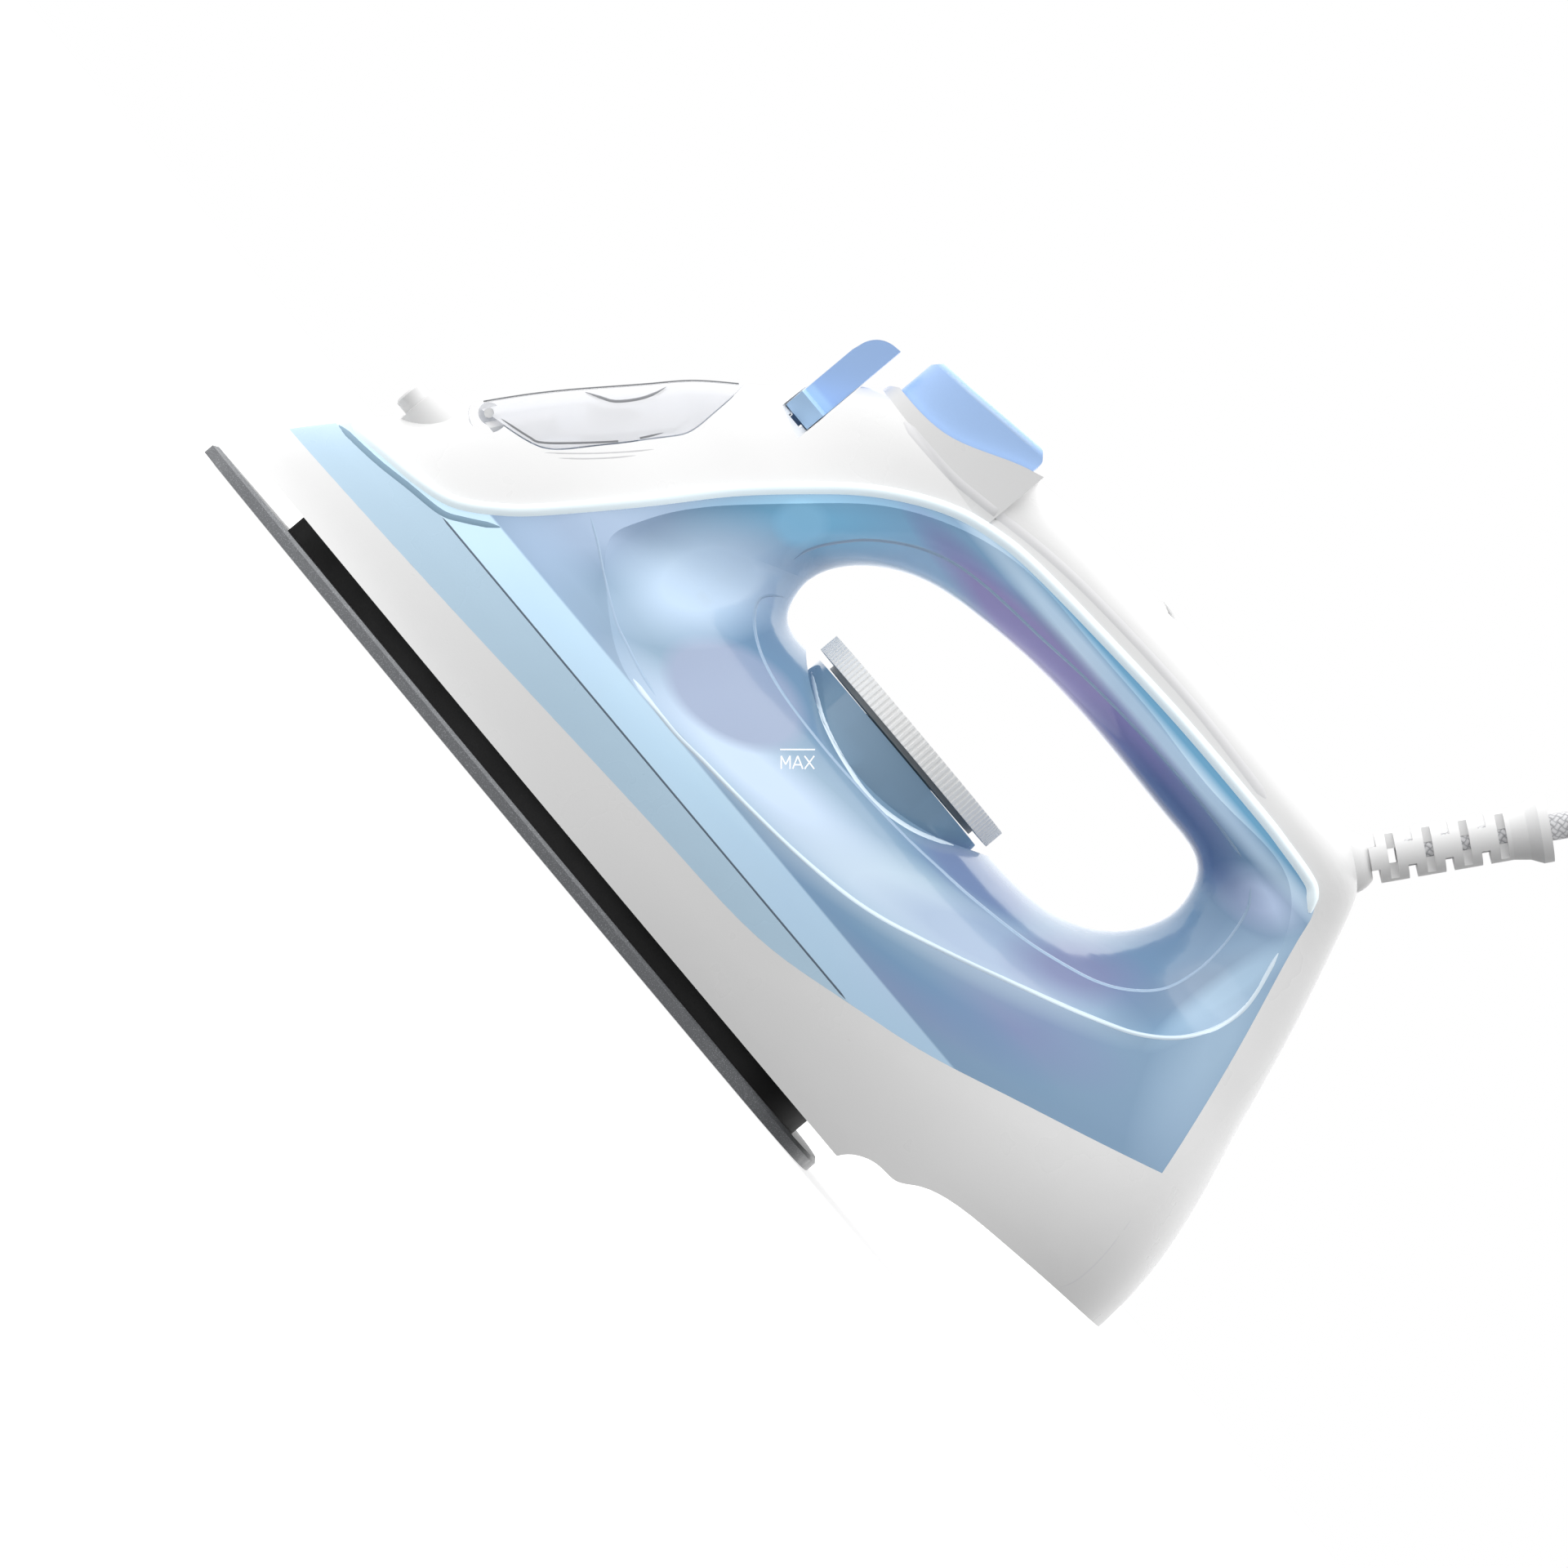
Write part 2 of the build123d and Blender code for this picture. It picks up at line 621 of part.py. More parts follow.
def lever_disc(radius, x0, x1):
    """Disc about the lever's axis."""
    with BuildPart() as form:
        with BuildSketch(Plane.YZ.offset(x0)):
            with Locations((0, LEVER_AXIS_Z)):
                Circle(radius)
        extrude(amount=x1 - x0)
    return form.part


with BuildPart() as channel:
    add(lever_disc(60, LEVER_FRONT, LEVER_BACK))
    add(lever_disc(CHANNEL_FLOOR, LEVER_FRONT, LEVER_BACK), mode=Mode.SUBTRACT)

with BuildPart() as channel_walls:
    add(bar(LEVER_FRONT - RIB, LEVER_BACK + RIB, -40, 40, 104, 140))
    add(bar(LEVER_FRONT - RIB, LEVER_FRONT, -7, 7, 74.9, 104))
    add(bar(LEVER_BACK, LEVER_BACK + RIB, -7, 7, 74.9, 104))
    add(channel.part, mode=Mode.SUBTRACT)
    add(lever_disc(CHANNEL_FLOOR - 2.4, LEVER_FRONT, LEVER_BACK), mode=Mode.SUBTRACT)
    add(inner_body.part, mode=Mode.INTERSECT)
    add(lever_disc(PIN_RADIUS, LEVER_FRONT - 5, LEVER_FRONT + 25), mode=Mode.SUBTRACT)
    add(bar(LEVER_X - 2.5, LEVER_X + 2.5, -13.5, 13.5, 80, 130), mode=Mode.SUBTRACT)

# Room inside the cover for the lever's stem to swing.
with BuildPart() as lever_fan:
    add(lever_disc(CHANNEL_FLOOR + 0.5, LEVER_X - 1.6, LEVER_X + 2.2))
    with BuildSketch(Plane.YZ.offset(LEVER_X - 5)):
        with BuildLine():
            Polyline((0, LEVER_AXIS_Z), (-20.2, LEVER_AXIS_Z + 60), (20.2, LEVER_AXIS_Z + 60), close=True)
        make_face()
    extrude(amount=10, mode=Mode.INTERSECT)

BUTTON_NOSE = -52.6
BUTTON_HEEL = 118.0  # the buttons' plan outline goes on as far as this, beyond their rear edge
BUTTON_WIDTH = 20.6
with BuildPart() as button_shaft:
    add(plan_prism(126, 160, BUTTON_NOSE - 0.4, BUTTON_HEEL + 0.4, BUTTON_WIDTH + 0.4, form_at(132)))
    add(bar(-56, -16.6, -40, 40, 126, 160), mode=Mode.INTERSECT)

with BuildPart() as button_collar:
    add(plan_prism(124, 160, BUTTON_NOSE - 2.6, BUTTON_HEEL + 2.6, BUTTON_WIDTH + 2.6, form_at(132)))
    with BuildSketch(Plane.XZ):
        with BuildLine():
            Polyline((-14.4, 149.4), (-14.4, 122), (-58.6, 122), (-58.6, 131.6), (-57, 134.2), BUTTON_EDGE[0])
            Spline(*BUTTON_EDGE)
            Line(BUTTON_EDGE[-1], (-14.4, 149.4))
        make_face()
    side_prism(Mode.INTERSECT)
    add(inner_body.part, mode=Mode.SUBTRACT)

with BuildPart() as handle_cover:
    add(skin.part)
    add(button_collar.part)
    add(cover_region.part, mode=Mode.INTERSECT)
    add(channel.part, mode=Mode.SUBTRACT)
    add(channel_walls.part)
    add(lever_fan.part, mode=Mode.SUBTRACT)
    with BuildSketch(Plane.XZ):
        with BuildLine():
            Spline(*BUTTON_EDGE)
            Polyline(BUTTON_EDGE[-1], (-16.6, 170), (-53, 170), BUTTON_EDGE[0])
        make_face()
    side_prism(Mode.SUBTRACT)
    add(button_shaft.part, mode=Mode.SUBTRACT)
    with BuildSketch(Plane.XZ):
        with BuildLine():
            Spline(*DOOR_FRAME)
            Polyline(DOOR_FRAME[-1], (-130, 118), (-130, 56), DOOR_FRAME[0])
        make_face()
        with Locations(HINGE):
            Circle(4.7 + GAP)
    side_prism(Mode.SUBTRACT)
    with BuildSketch(Plane.YZ.offset(-135)):
        with Locations((0, NOZZLE_Z)):
            Circle(3.1)
    extrude(amount=30, mode=Mode.SUBTRACT)
    with Locations((BALL[0], 0, BALL[1])):
        Sphere(BALL_RADIUS + 0.4, mode=Mode.SUBTRACT)
    guard_plane = Plane(
        origin=(BALL[0], 0, BALL[1]),
        z_dir=(cos(radians(GUARD_SLOPE)), 0, sin(radians(GUARD_SLOPE))),
    )
    with BuildSketch(guard_plane):
        Circle(BALL_RADIUS + 0.4)
    with BuildSketch(guard_plane.offset(16)):
        Circle(BALL_RADIUS + 14)
    loft(mode=Mode.SUBTRACT)
save(handle_cover.part, "handle_cover")

# ---- filler ---------------------------------------------------------------------------------
EAR = 2.6  # radius of the door's hinge ears
PIN_REACH = 6.8
with BuildPart() as filler_door:
    add(skin.part)
    add(door_region.part, mode=Mode.INTERSECT)
    with BuildSketch(Plane.XZ):
        with BuildLine():
            Polyline((-130, 40), (HINGE[0] + 1.5, 40), HINGE, (-130, HINGE[1] + 11), close=True)
        make_face()
        with Locations(HINGE):
            Circle(4.2, mode=Mode.SUBTRACT)
    side_prism(Mode.SUBTRACT)
    for side in (-1, 1):
        with BuildSketch(Plane.XZ.offset(side * 4.5 - 1.5)):
            with Locations(HINGE):
                Circle(EAR)
        extrude(amount=3)
    with BuildSketch(Plane.XZ):
        with Locations(HINGE):
            Circle(1.25)
    extrude(amount=20, both=True, mode=Mode.SUBTRACT)
save(filler_door.part.solids().sort_by(SortBy.VOLUME)[-1], "filler_door")

with BuildPart() as filler_door_pin:
    with BuildSketch(Plane.XZ):
        with Locations(HINGE):
            Circle(1.2)
    extrude(amount=PIN_REACH, both=True)
save(filler_door_pin.part, "filler_door_pin")

with BuildPart() as door_gap:
    add(inner_body.part)
    add(envelope(WALL + DOOR_GAP), mode=Mode.SUBTRACT)
    add(door_region.part, mode=Mode.INTERSECT)

with BuildPart() as basin:
    add(envelope(WALL + 3.4))
    add(envelope(WALL + 5.6), mode=Mode.SUBTRACT)
    add(bar(-101.5, -79.6, -6.4, 6.4, 72, 112), mode=Mode.INTERSECT)

with BuildPart() as filler_funnel:
    add(envelope(WALL + 3.4))
    add(envelope(WALL + 5.6), mode=Mode.SUBTRACT)
    with BuildSketch(Plane.XZ):
        with BuildLine():
            Polyline((-105, 62), (-98, 66), (-91, 74), (-86, 81), (-80, 90), (-79.5, 101), (-79.5, 112),
                     (-130, 118), (-130, 62), close=True)
        make_face()
    side_prism(Mode.INTERSECT)
    with BuildSketch(Plane.XZ):
        with BuildLine():
            Polyline((HINGE[0], HINGE[1] - 2.2), (-102, 56), (-97, 68), (-104, 72),
                     (HINGE[0] - 1.4, HINGE[1] + 1.8), close=True)
        make_face()
    extrude(amount=9.0, both=True)
    add(bar(-130, -90, -6.2, 6.2, 40, 90), mode=Mode.SUBTRACT)
    add(inner_body.part, mode=Mode.INTERSECT)
    add(basin.part)
    with BuildSketch(SPOUT_PLANE):
        Circle(6.9)
    extrude(amount=24)
    add(door_gap.part, mode=Mode.SUBTRACT)
    with BuildSketch(SPOUT_PLANE):
        Circle(5.4)
    extrude(amount=60, both=True, mode=Mode.SUBTRACT)
    with BuildSketch(Plane.XZ):
        with Locations(HINGE):
            Circle(1.2)
    extrude(amount=20, both=True, mode=Mode.SUBTRACT)
funnel_solid = filler_funnel.part.solids().sort_by(SortBy.VOLUME)[-1]
save(funnel_solid, "filler_funnel")

# ---- spray nozzle, pumps and buttons --------------------------------------------------------
with BuildPart() as spray_nozzle:
    with BuildSketch(Plane.XZ):
        with BuildLine():
            Polyline((-128, NOZZLE_Z), (-128, NOZZLE_Z + 3.3), (-127.5, NOZZLE_Z + 3.8),
                     (-124.2, NOZZLE_Z + 3.8), (-124.0, NOZZLE_Z + 6.0), (-116, NOZZLE_Z + 8.2),
                     (-112, NOZZLE_Z), close=True)
        make_face()
    revolve(axis=Axis((0, 0, NOZZLE_Z), (1, 0, 0)))
    add(outer_form, mode=Mode.SUBTRACT)
    with BuildSketch(Plane.YZ.offset(-127)):
        with Locations((0, NOZZLE_Z)):
            Circle(3.0)
    extrude(amount=16)
    with BuildSketch(Plane.YZ.offset(-130)):
        with Locations((0, NOZZLE_Z)):
            Circle(0.6)
    extrude(amount=30, mode=Mode.SUBTRACT)
save(spray_nozzle.part.solids().sort_by(SortBy.VOLUME)[-1], "spray_nozzle")

BUTTON_TOP = [(-52.4, 146.6), (-50.5, 149.1), (-42, 150.1), (-19.6, 153.6), (-17.2, 151.4)]
PISTON_TOP = 135.0
SPRING_RADIUS = 2.8
for side, name in ((-1, "spray"), (1, "boost")):
    with BuildPart() as button:
        with BuildSketch(Plane.XZ):
            with BuildLine():
                Polyline(*BUTTON_TOP, (-17.2, 143.2), (-24, 140), (-34, PISTON_TOP),
                         (-52.4, PISTON_TOP), BUTTON_TOP[0])
            make_face()
        side_prism()
        add(plan_prism(126, 160, BUTTON_NOSE, BUTTON_HEEL, BUTTON_WIDTH, form_at(132)), mode=Mode.INTERSECT)
        fillet(button.edges().filter_by(lambda e: e.center().Z > 147 and e.length > 20), 1.6)
        add(bar(-60, 0, min(0.2 * side, -60 * side), max(0.2 * side, -60 * side), 120, 160),
            mode=Mode.SUBTRACT)
    save(button.part, f"{name}_button")

    with BuildPart() as pump:
        add(tube(PUMP_X, side * PUMP_Y, PUMP_BOTTOM, PUMP_TOP, 5.4, 3.6))
        add(tube(PUMP_X, side * PUMP_Y, PUMP_BOTTOM, PUMP_BOTTOM + 2, 3.6, 1.0))
    save(pump.part, f"{name}_pump")

    with BuildPart() as plunger:
        add(tube(PUMP_X, side * PUMP_Y, PUMP_TOP - 14, PISTON_TOP, 1.8))
        add(tube(PUMP_X, side * PUMP_Y, PUMP_TOP - 18, PUMP_TOP - 13, 3.55))
    save(plunger.part, f"{name}_plunger")

    with BuildPart() as spring:
        with BuildLine():
            Helix(2.2, PISTON_TOP - PUMP_TOP - 1.2, SPRING_RADIUS, center=(PUMP_X, side * PUMP_Y, PUMP_TOP + 0.6))
        with BuildSketch(Plane(origin=(PUMP_X + SPRING_RADIUS, side * PUMP_Y, PUMP_TOP + 0.6), z_dir=(0, 1, 0.12))):
            Circle(0.4)
        sweep(is_frenet=True)
    save(spring.part, f"{name}_spring")

with BuildPart() as pump_bracket:
    add(bar(PUMP_X - 8, PUMP_X + 5.6, -15, 15, PUMP_BOTTOM - 3, PUMP_BOTTOM))
    add(inner_body.part, mode=Mode.INTERSECT)
    with Locations((PUMP_X, PUMP_Y, PUMP_BOTTOM), (PUMP_X, -PUMP_Y, PUMP_BOTTOM)):
        Cylinder(HOSE_RADIUS, 12, mode=Mode.SUBTRACT)
save(pump_bracket.part, "pump_bracket")

with BuildPart() as boost_hose:
    add(tube(PUMP_X, PUMP_Y, CASTING_TOP + 1.5, PUMP_BOTTOM, HOSE_RADIUS, 1.0))
save(boost_hose.part, "boost_hose")

SPRAY_ROUTE = [
    (PUMP_X, -PUMP_Y, PUMP_BOTTOM), (PUMP_X, -PUMP_Y, 88), (-54, -11.5, 80), (-74, -12.5, 76),
    (-96, -11, 60), (-103, -2.5, 49), (-107, 0, NOZZLE_Z), (-111, 0, NOZZLE_Z),
]
save(bent_tube(SPRAY_ROUTE, 1.9, 2.6), "spray_hose")

# ---- steam lever and valve ------------------------------------------------------------------
with BuildPart() as lever_shoe:
    add(lever_disc(41.5, LEVER_X - 3.9, LEVER_X + 3.9))
    add(lever_disc(CHANNEL_FLOOR + GAP, LEVER_X - 3.9, LEVER_X + 3.9), mode=Mode.SUBTRACT)
    with BuildSketch(Plane.YZ.offset(LEVER_X - 5)):
        with BuildLine():
            Polyline((0, LEVER_AXIS_Z), (-14, LEVER_AXIS_Z + 56), (14, LEVER_AXIS_Z + 56), close=True)
        make_face()
    extrude(amount=10, mode=Mode.INTERSECT)

with BuildPart() as steam_lever:
    with BuildSketch(Plane.XZ.offset(-3.6)):
        with BuildLine():
            Polyline((LEVER_X + 3.9, 119), (LEVER_X + 3.9, 143), (LEVER_X + 1.6, 142.6))
            Spline((LEVER_X + 1.6, 142.6), (LEVER_X - 1.6, 140.8), (LEVER_X - 3.4, 137.6))
            Polyline(
                (LEVER_X - 3.4, 137.6), (LEVER_X - 3.9, 134.5), (LEVER_X - 3.9, 118), (LEVER_X + 3.9, 119)
            )
        make_face()
    extrude(amount=7.2)
    add(lever_shoe.part)
    add(bar(LEVER_X - 1.2, LEVER_X + 1.8, -1.8, 1.8, LEVER_AXIS_Z, LEVER_AXIS_Z + 38))
    add(lever_disc(4.6, LEVER_X - 3.4, LEVER_X + 3.4))
    add(lever_disc(PIN_RADIUS + 0.06, LEVER_X - 6, LEVER_X + 6), mode=Mode.SUBTRACT)
save(steam_lever.part, "steam_lever")
save(lever_disc(PIN_RADIUS, LEVER_FRONT - RIB - 0.6, LEVER_BACK + RIB + 0.6), "lever_pin")
save(tube(LEVER_X, 0, 24, LEVER_AXIS_Z - 6.2, ROD_RADIUS), "steam_valve_rod")

# ---- thermostat dial ------------------------------------------------------------------------
RIBS = 120
RIB_CUT = 0.5
with BuildPart() as thermostat_dial:
    with BuildSketch(Plane.XY.offset(DIAL_BOTTOM)):
        with Locations((DIAL_X, 0)):
            Circle(DIAL_RADIUS)
        with Locations((DIAL_X, 0)):
            with PolarLocations(DIAL_RADIUS + 0.1, RIBS):
                Circle(RIB_CUT, mode=Mode.SUBTRACT)
    extrude(amount=DIAL_TOP - DIAL_BOTTOM)
    with Locations((DIAL_X, 0, DIAL_BOTTOM)):
        Cylinder(3.0, 6, mode=Mode.SUBTRACT)
save(thermostat_dial.part, "thermostat_dial")

with BuildPart() as dial_skirt:
    add(tube(DIAL_X, 0, DIAL_BOTTOM - 1.3, DIAL_BOTTOM, 25.8, 3.0))
    add(tube(DIAL_X, 0, WELL_FLOOR + 9.4, DIAL_BOTTOM - 1.3, 12.0, 3.0))
save(dial_skirt.part, "dial_skirt")
save(tube(DIAL_X, 0, 28.8, DIAL_BOTTOM + 3, 3.0), "dial_shaft")

# ---- cord outlet ----------------------------------------------------------------------------
with BuildPart() as cord_swivel:
    with Locations((BALL[0], 0, BALL[1])):
        Sphere(BALL_RADIUS)
    with BuildSketch(guard_plane.offset(-20)):
        Circle(CORD_RADIUS + 0.1)
    extrude(amount=60, mode=Mode.SUBTRACT)
    with BuildSketch(guard_plane.offset(GUARD_START)):
        Circle(30)
    extrude(amount=30, mode=Mode.SUBTRACT)
save(cord_swivel.part, "cord_swivel")

with BuildPart() as swivel_socket:
    with Locations((BALL[0], 0, BALL[1])):
        Sphere(BALL_RADIUS + 2.0)
        Sphere(BALL_RADIUS + 0.3, mode=Mode.SUBTRACT)
    add(bar(60, 140, -30, 30, BALL[1] - 1.5, 180), mode=Mode.SUBTRACT)
    with Locations((BALL[0], 0, BALL[1] - 8)):
        Cylinder(4.5, 10, mode=Mode.SUBTRACT)
    add(inner_body.part, mode=Mode.INTERSECT)
save(swivel_socket.part.solids().sort_by(SortBy.VOLUME)[-1], "swivel_socket")

SLEEVE_RADIUS = 6.1
SLOT_PITCH = 8.9
SLOT_WIDTH = 2.1
FIRST_SLOT = 5.5  # along the guard's axis, from the ball's centre
BRIDGE = 2.8  # half width of the strips that join the rings
FLARE_START = GUARD_START + GUARD_LENGTH - 9.4
FLARE_WAIST = GUARD_START + GUARD_LENGTH - 5.4
FLARE_END = GUARD_START + GUARD_LENGTH - 2.4
FLARE_RADIUS = 8.2
with BuildPart() as cord_guard:
    with BuildSketch(guard_plane.offset(GUARD_START)):
        Circle(SLEEVE_RADIUS)
    extrude(amount=FLARE_START - GUARD_START)
    with BuildSketch(guard_plane.offset(FLARE_START)):
        Circle(SLEEVE_RADIUS)
    with BuildSketch(guard_plane.offset(FLARE_WAIST)):
        Circle(SLEEVE_RADIUS + 0.7)
    loft()
    with BuildSketch(guard_plane.offset(FLARE_WAIST)):
        Circle(SLEEVE_RADIUS + 0.7)
    with BuildSketch(guard_plane.offset(FLARE_END)):
        Circle(FLARE_RADIUS)
    loft()
    with BuildSketch(guard_plane.offset(FLARE_END)):
        Circle(FLARE_RADIUS)
    extrude(amount=2.4)
    with BuildSketch(guard_plane):
        Circle(CORD_RADIUS + 0.1)
    extrude(amount=70, mode=Mode.SUBTRACT)
    for row in range(8):
        slot_plane = guard_plane.offset(FIRST_SLOT + SLOT_PITCH / 2 * row)
        for edge in (-1, 1):
            with BuildSketch(slot_plane):
                with Locations(Location((0, 0), 90 * (row % 2))):
                    with Locations((edge * (BRIDGE + 4), 0)):
                        Rectangle(8.0, 14.0)
            extrude(amount=SLOT_WIDTH, mode=Mode.SUBTRACT)
save(cord_guard.part, "cord_guard")

with BuildPart() as cord_clamp:
    add(bar(89, 103.5, -7, 7, 129.5, 136.5))
    add(tube(97, 0, 120, 140, 3.4), mode=Mode.SUBTRACT)
    add(inner_body.part, mode=Mode.INTERSECT)
save(cord_clamp.part, "cord_clamp")

with BuildPart() as terminal_block:
    with BuildSketch(Plane.XY.offset(28.5)):
        with Locations((106, 0)):
            RectangleRounded(18, 40, 2)
    extrude(amount=11)
    with BuildSketch(Plane.XY.offset(39.5)):
        with Locations((106, -12), (106, 0), (106, 12)):
            Circle(3.2)
    extrude(amount=-3, mode=Mode.SUBTRACT)
save(terminal_block.part, "terminal_block")

with BuildPart() as supply_wires:
    for y in (-4.5, 4.5):
        add(bent_tube(
            [(103.6, y, 133.6), (110.5, y, 131), (117.3, y, 113), (124, y, 95), (134, y, 66), (131, y, 46),
             (115.6, 2.4 * y, 34)], 1.3, 3.0))
save(supply_wires.part, "supply_wires")

with BuildPart() as heater_wires:
    for side in (-1, 1):
        add(bent_tube(
            [(58, side * 30, ELEMENT_Z + ELEMENT_RADIUS), (58, side * 30, 25), (80, side * 20, 29),
             (96.6, side * 12, 34)], 1.3, 3.0))
save(heater_wires.part, "heater_wires")

# ---- screws ---------------------------------------------------------------------------------
with BuildPart() as housing_screws:
    for x, y in SHIELD_SCREWS:
        add(tube(x, y, SHIELD_TOP, SHIELD_TOP + 2.4, 3.2))
        add(tube(x, y, SHIELD_TOP - 2, SHIELD_TOP, 1.6))
save(housing_screws.part, "housing_screws")

# ---- mains cord, coil and plug --------------------------------------------------------------
guard_end = guard_plane.offset(GUARD_START + GUARD_LENGTH).origin
CORD_ROUTE = [
    (guard_end.X, 0, guard_end.Z), (150, 0, 229), (193, -6, 248), (236, -16, 230), (262, -27, 188),
    (271, -36, 141), (273, -41, 95), (280, -43.5, 55), (300, -44.4, 23), (334, -44.4, 9.6),
]


def route_radii(points):
    """Bend radius at each corner of a cord's route, as large as its shorter run allows."""
    radii = []
    for before, corner, after in zip(points, points[1:], points[2:]):
        arriving = Vector(*corner) - Vector(*before)
        leaving = Vector(*after) - Vector(*corner)
        turn = radians(arriving.get_angle(leaving))
        radii.append(0.45 * min(arriving.length, leaving.length) / tan(turn / 2))
    return radii


print("cord radii", [round(r, 1) for r in route_radii(CORD_ROUTE)])
save(bent_tube(CORD_ROUTE, CORD_RADIUS, route_radii(CORD_ROUTE)), "mains_cord")

COIL_X = 334.0
COIL_RADIUS = 38.0
COIL_WIDE = 3
COIL_HIGH = 2
with BuildPart() as cord_coil:
    with BuildSketch(Plane.XZ):
        with Locations((COIL_X + COIL_RADIUS, COIL_HIGH * CORD_RADIUS)):
            RectangleRounded(2 * COIL_WIDE * CORD_RADIUS, 2 * COIL_HIGH * CORD_RADIUS, CORD_RADIUS)
    revolve(axis=Axis((COIL_X, 0, 0), (0, 0, 1)))
save(cord_coil.part, "cord_coil")

TAIL_ROUTE = [(336, -44.4, 3.2), (366, -47.4, 3.2), (388, -36.7, 4.2), (401.5, -15.5, 7),
              (401.5, 5, 10)]
print("tail radii", [round(r, 1) for r in route_radii(TAIL_ROUTE)])
save(bent_tube(TAIL_ROUTE, CORD_RADIUS, route_radii(TAIL_ROUTE)), "cord_tail")

PLUG_X = 401.5
PLUG_Y = 5.0
PLUG_Z = 10.0
with BuildPart() as plug_body:
    for y, wide, high in ((PLUG_Y, 10, 10), (PLUG_Y + 12, 13, 12), (PLUG_Y + 30, 33, 17)):
        with BuildSketch(Plane.XZ.offset(-y)):
            with Locations((PLUG_X, PLUG_Z)):
                RectangleRounded(wide, high, 4.5)
    loft(ruled=True)
    with BuildSketch(Plane.XZ.offset(-(PLUG_Y + 30))):
        with Locations((PLUG_X, PLUG_Z)):
            RectangleRounded(33, 17, 4.5)
    extrude(amount=-12)
save(plug_body.part, "plug_body")

with BuildPart() as plug_pins:
    for dx, dz in ((-9.5, -1), (9.5, -1), (0, 2)):
        with BuildSketch(Plane.XZ.offset(-(PLUG_Y + 42))):
            with Locations((PLUG_X + dx, PLUG_Z + dz)):
                Circle(2.0)
        extrude(amount=-19)
save(plug_pins.part, "plug_pins")
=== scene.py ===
"""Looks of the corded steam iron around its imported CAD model.

Metres, in the model's own frame: +Z up from the soleplate, the nose towards -X, the cord
towards +X.
"""

from math import cos, hypot, pi, radians, sin

import bmesh
import bpy
from mathutils import Matrix, Vector
from mathutils.bvhtree import BVHTree


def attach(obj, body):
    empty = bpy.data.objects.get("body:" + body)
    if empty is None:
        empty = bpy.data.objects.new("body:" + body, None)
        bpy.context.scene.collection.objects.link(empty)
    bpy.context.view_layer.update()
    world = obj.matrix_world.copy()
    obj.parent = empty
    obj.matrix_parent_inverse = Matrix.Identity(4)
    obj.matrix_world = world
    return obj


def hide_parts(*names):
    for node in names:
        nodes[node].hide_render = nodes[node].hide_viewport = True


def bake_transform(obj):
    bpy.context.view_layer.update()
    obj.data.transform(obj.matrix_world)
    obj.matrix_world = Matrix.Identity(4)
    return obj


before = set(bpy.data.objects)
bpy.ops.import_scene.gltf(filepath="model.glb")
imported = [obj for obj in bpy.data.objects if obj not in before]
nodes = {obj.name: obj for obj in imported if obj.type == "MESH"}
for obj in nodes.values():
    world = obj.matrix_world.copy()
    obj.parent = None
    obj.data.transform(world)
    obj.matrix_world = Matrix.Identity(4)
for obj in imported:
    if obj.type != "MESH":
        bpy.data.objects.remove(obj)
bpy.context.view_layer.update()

MM = 0.001

# ---- camera ---------------------------------------------------------------------------------
ROLL = radians(50)  # the iron stands on its heel's edge, nose up, in the picture
RIGHT = Vector((cos(ROLL), 0, sin(ROLL)))
UP = Vector((-sin(ROLL), 0, cos(ROLL)))
TOWARDS_CAMERA = Vector((0, -1, 0))
CAMERA_DISTANCE = 3.0
FRAME_SIDE = 0.3752  # width of the picture at the iron's middle plane
PICTURE_MIDDLE_X, PICTURE_MIDDLE_Z = 0.00175, 0.0552
SENSOR = 36.0  # mm

camera_data = bpy.data.cameras.new("camera")
camera_data.sensor_width = SENSOR
camera_data.lens = SENSOR * CAMERA_DISTANCE / FRAME_SIDE
camera = bpy.data.objects.new("camera", camera_data)
camera.matrix_world = Matrix((RIGHT, UP, TOWARDS_CAMERA)).transposed().to_4x4()
camera.location = (PICTURE_MIDDLE_X, -CAMERA_DISTANCE, PICTURE_MIDDLE_Z)
bpy.context.scene.collection.objects.link(camera)
bpy.context.scene.camera = camera

# ---- mains cord -----------------------------------------------------------------------------
CORD_DIAMETER = 0.0064
CORD_EXIT = (0.1274, 0, 0.188608)
GUARD_AXIS = Vector((cos(radians(60)), 0, sin(radians(60))))
# Control points of the cord's way down to the table, and of its end from the coil to the plug.
LEAD = [
    CORD_EXIT, (0.150, 0, 0.229), (0.193, -0.006, 0.248), (0.236, -0.016, 0.230),
    (0.262, -0.027, 0.188), (0.271, -0.036, 0.141), (0.273, -0.041, 0.095), (0.280, -0.0435, 0.055),
    (0.300, -0.0444, 0.023),
]
TAIL = [
    (0.366, -0.0474, 0.0032), (0.388, -0.0367, 0.0042), (0.4015, -0.0155, 0.007),
    (0.4015, 0.005, 0.010),
]
COIL_MIDDLE = Vector((0.334, 0, 0))
OUTER_TURN = 0.0444  # radius of the coil's outermost turn
LAYER_TURNS = 3
TURN_POINTS = 14
STEP_START = 0.8  # the cord steps over to the next turn in the last fifth of a turn
HULL = 0.975  # a smooth curve steered by points on a circle has this share of its radius
CORE_STEP = 0.002
CORE_STEPS = 18  # how far the cord reaches into the guard


def step_over(turns):
    """Whole turns so far, with a smooth step to the next one."""
    whole = int(turns)
    share = max(0.0, (turns - whole - STEP_START) / (1 - STEP_START))
    return whole + share * share * (3 - 2 * share)


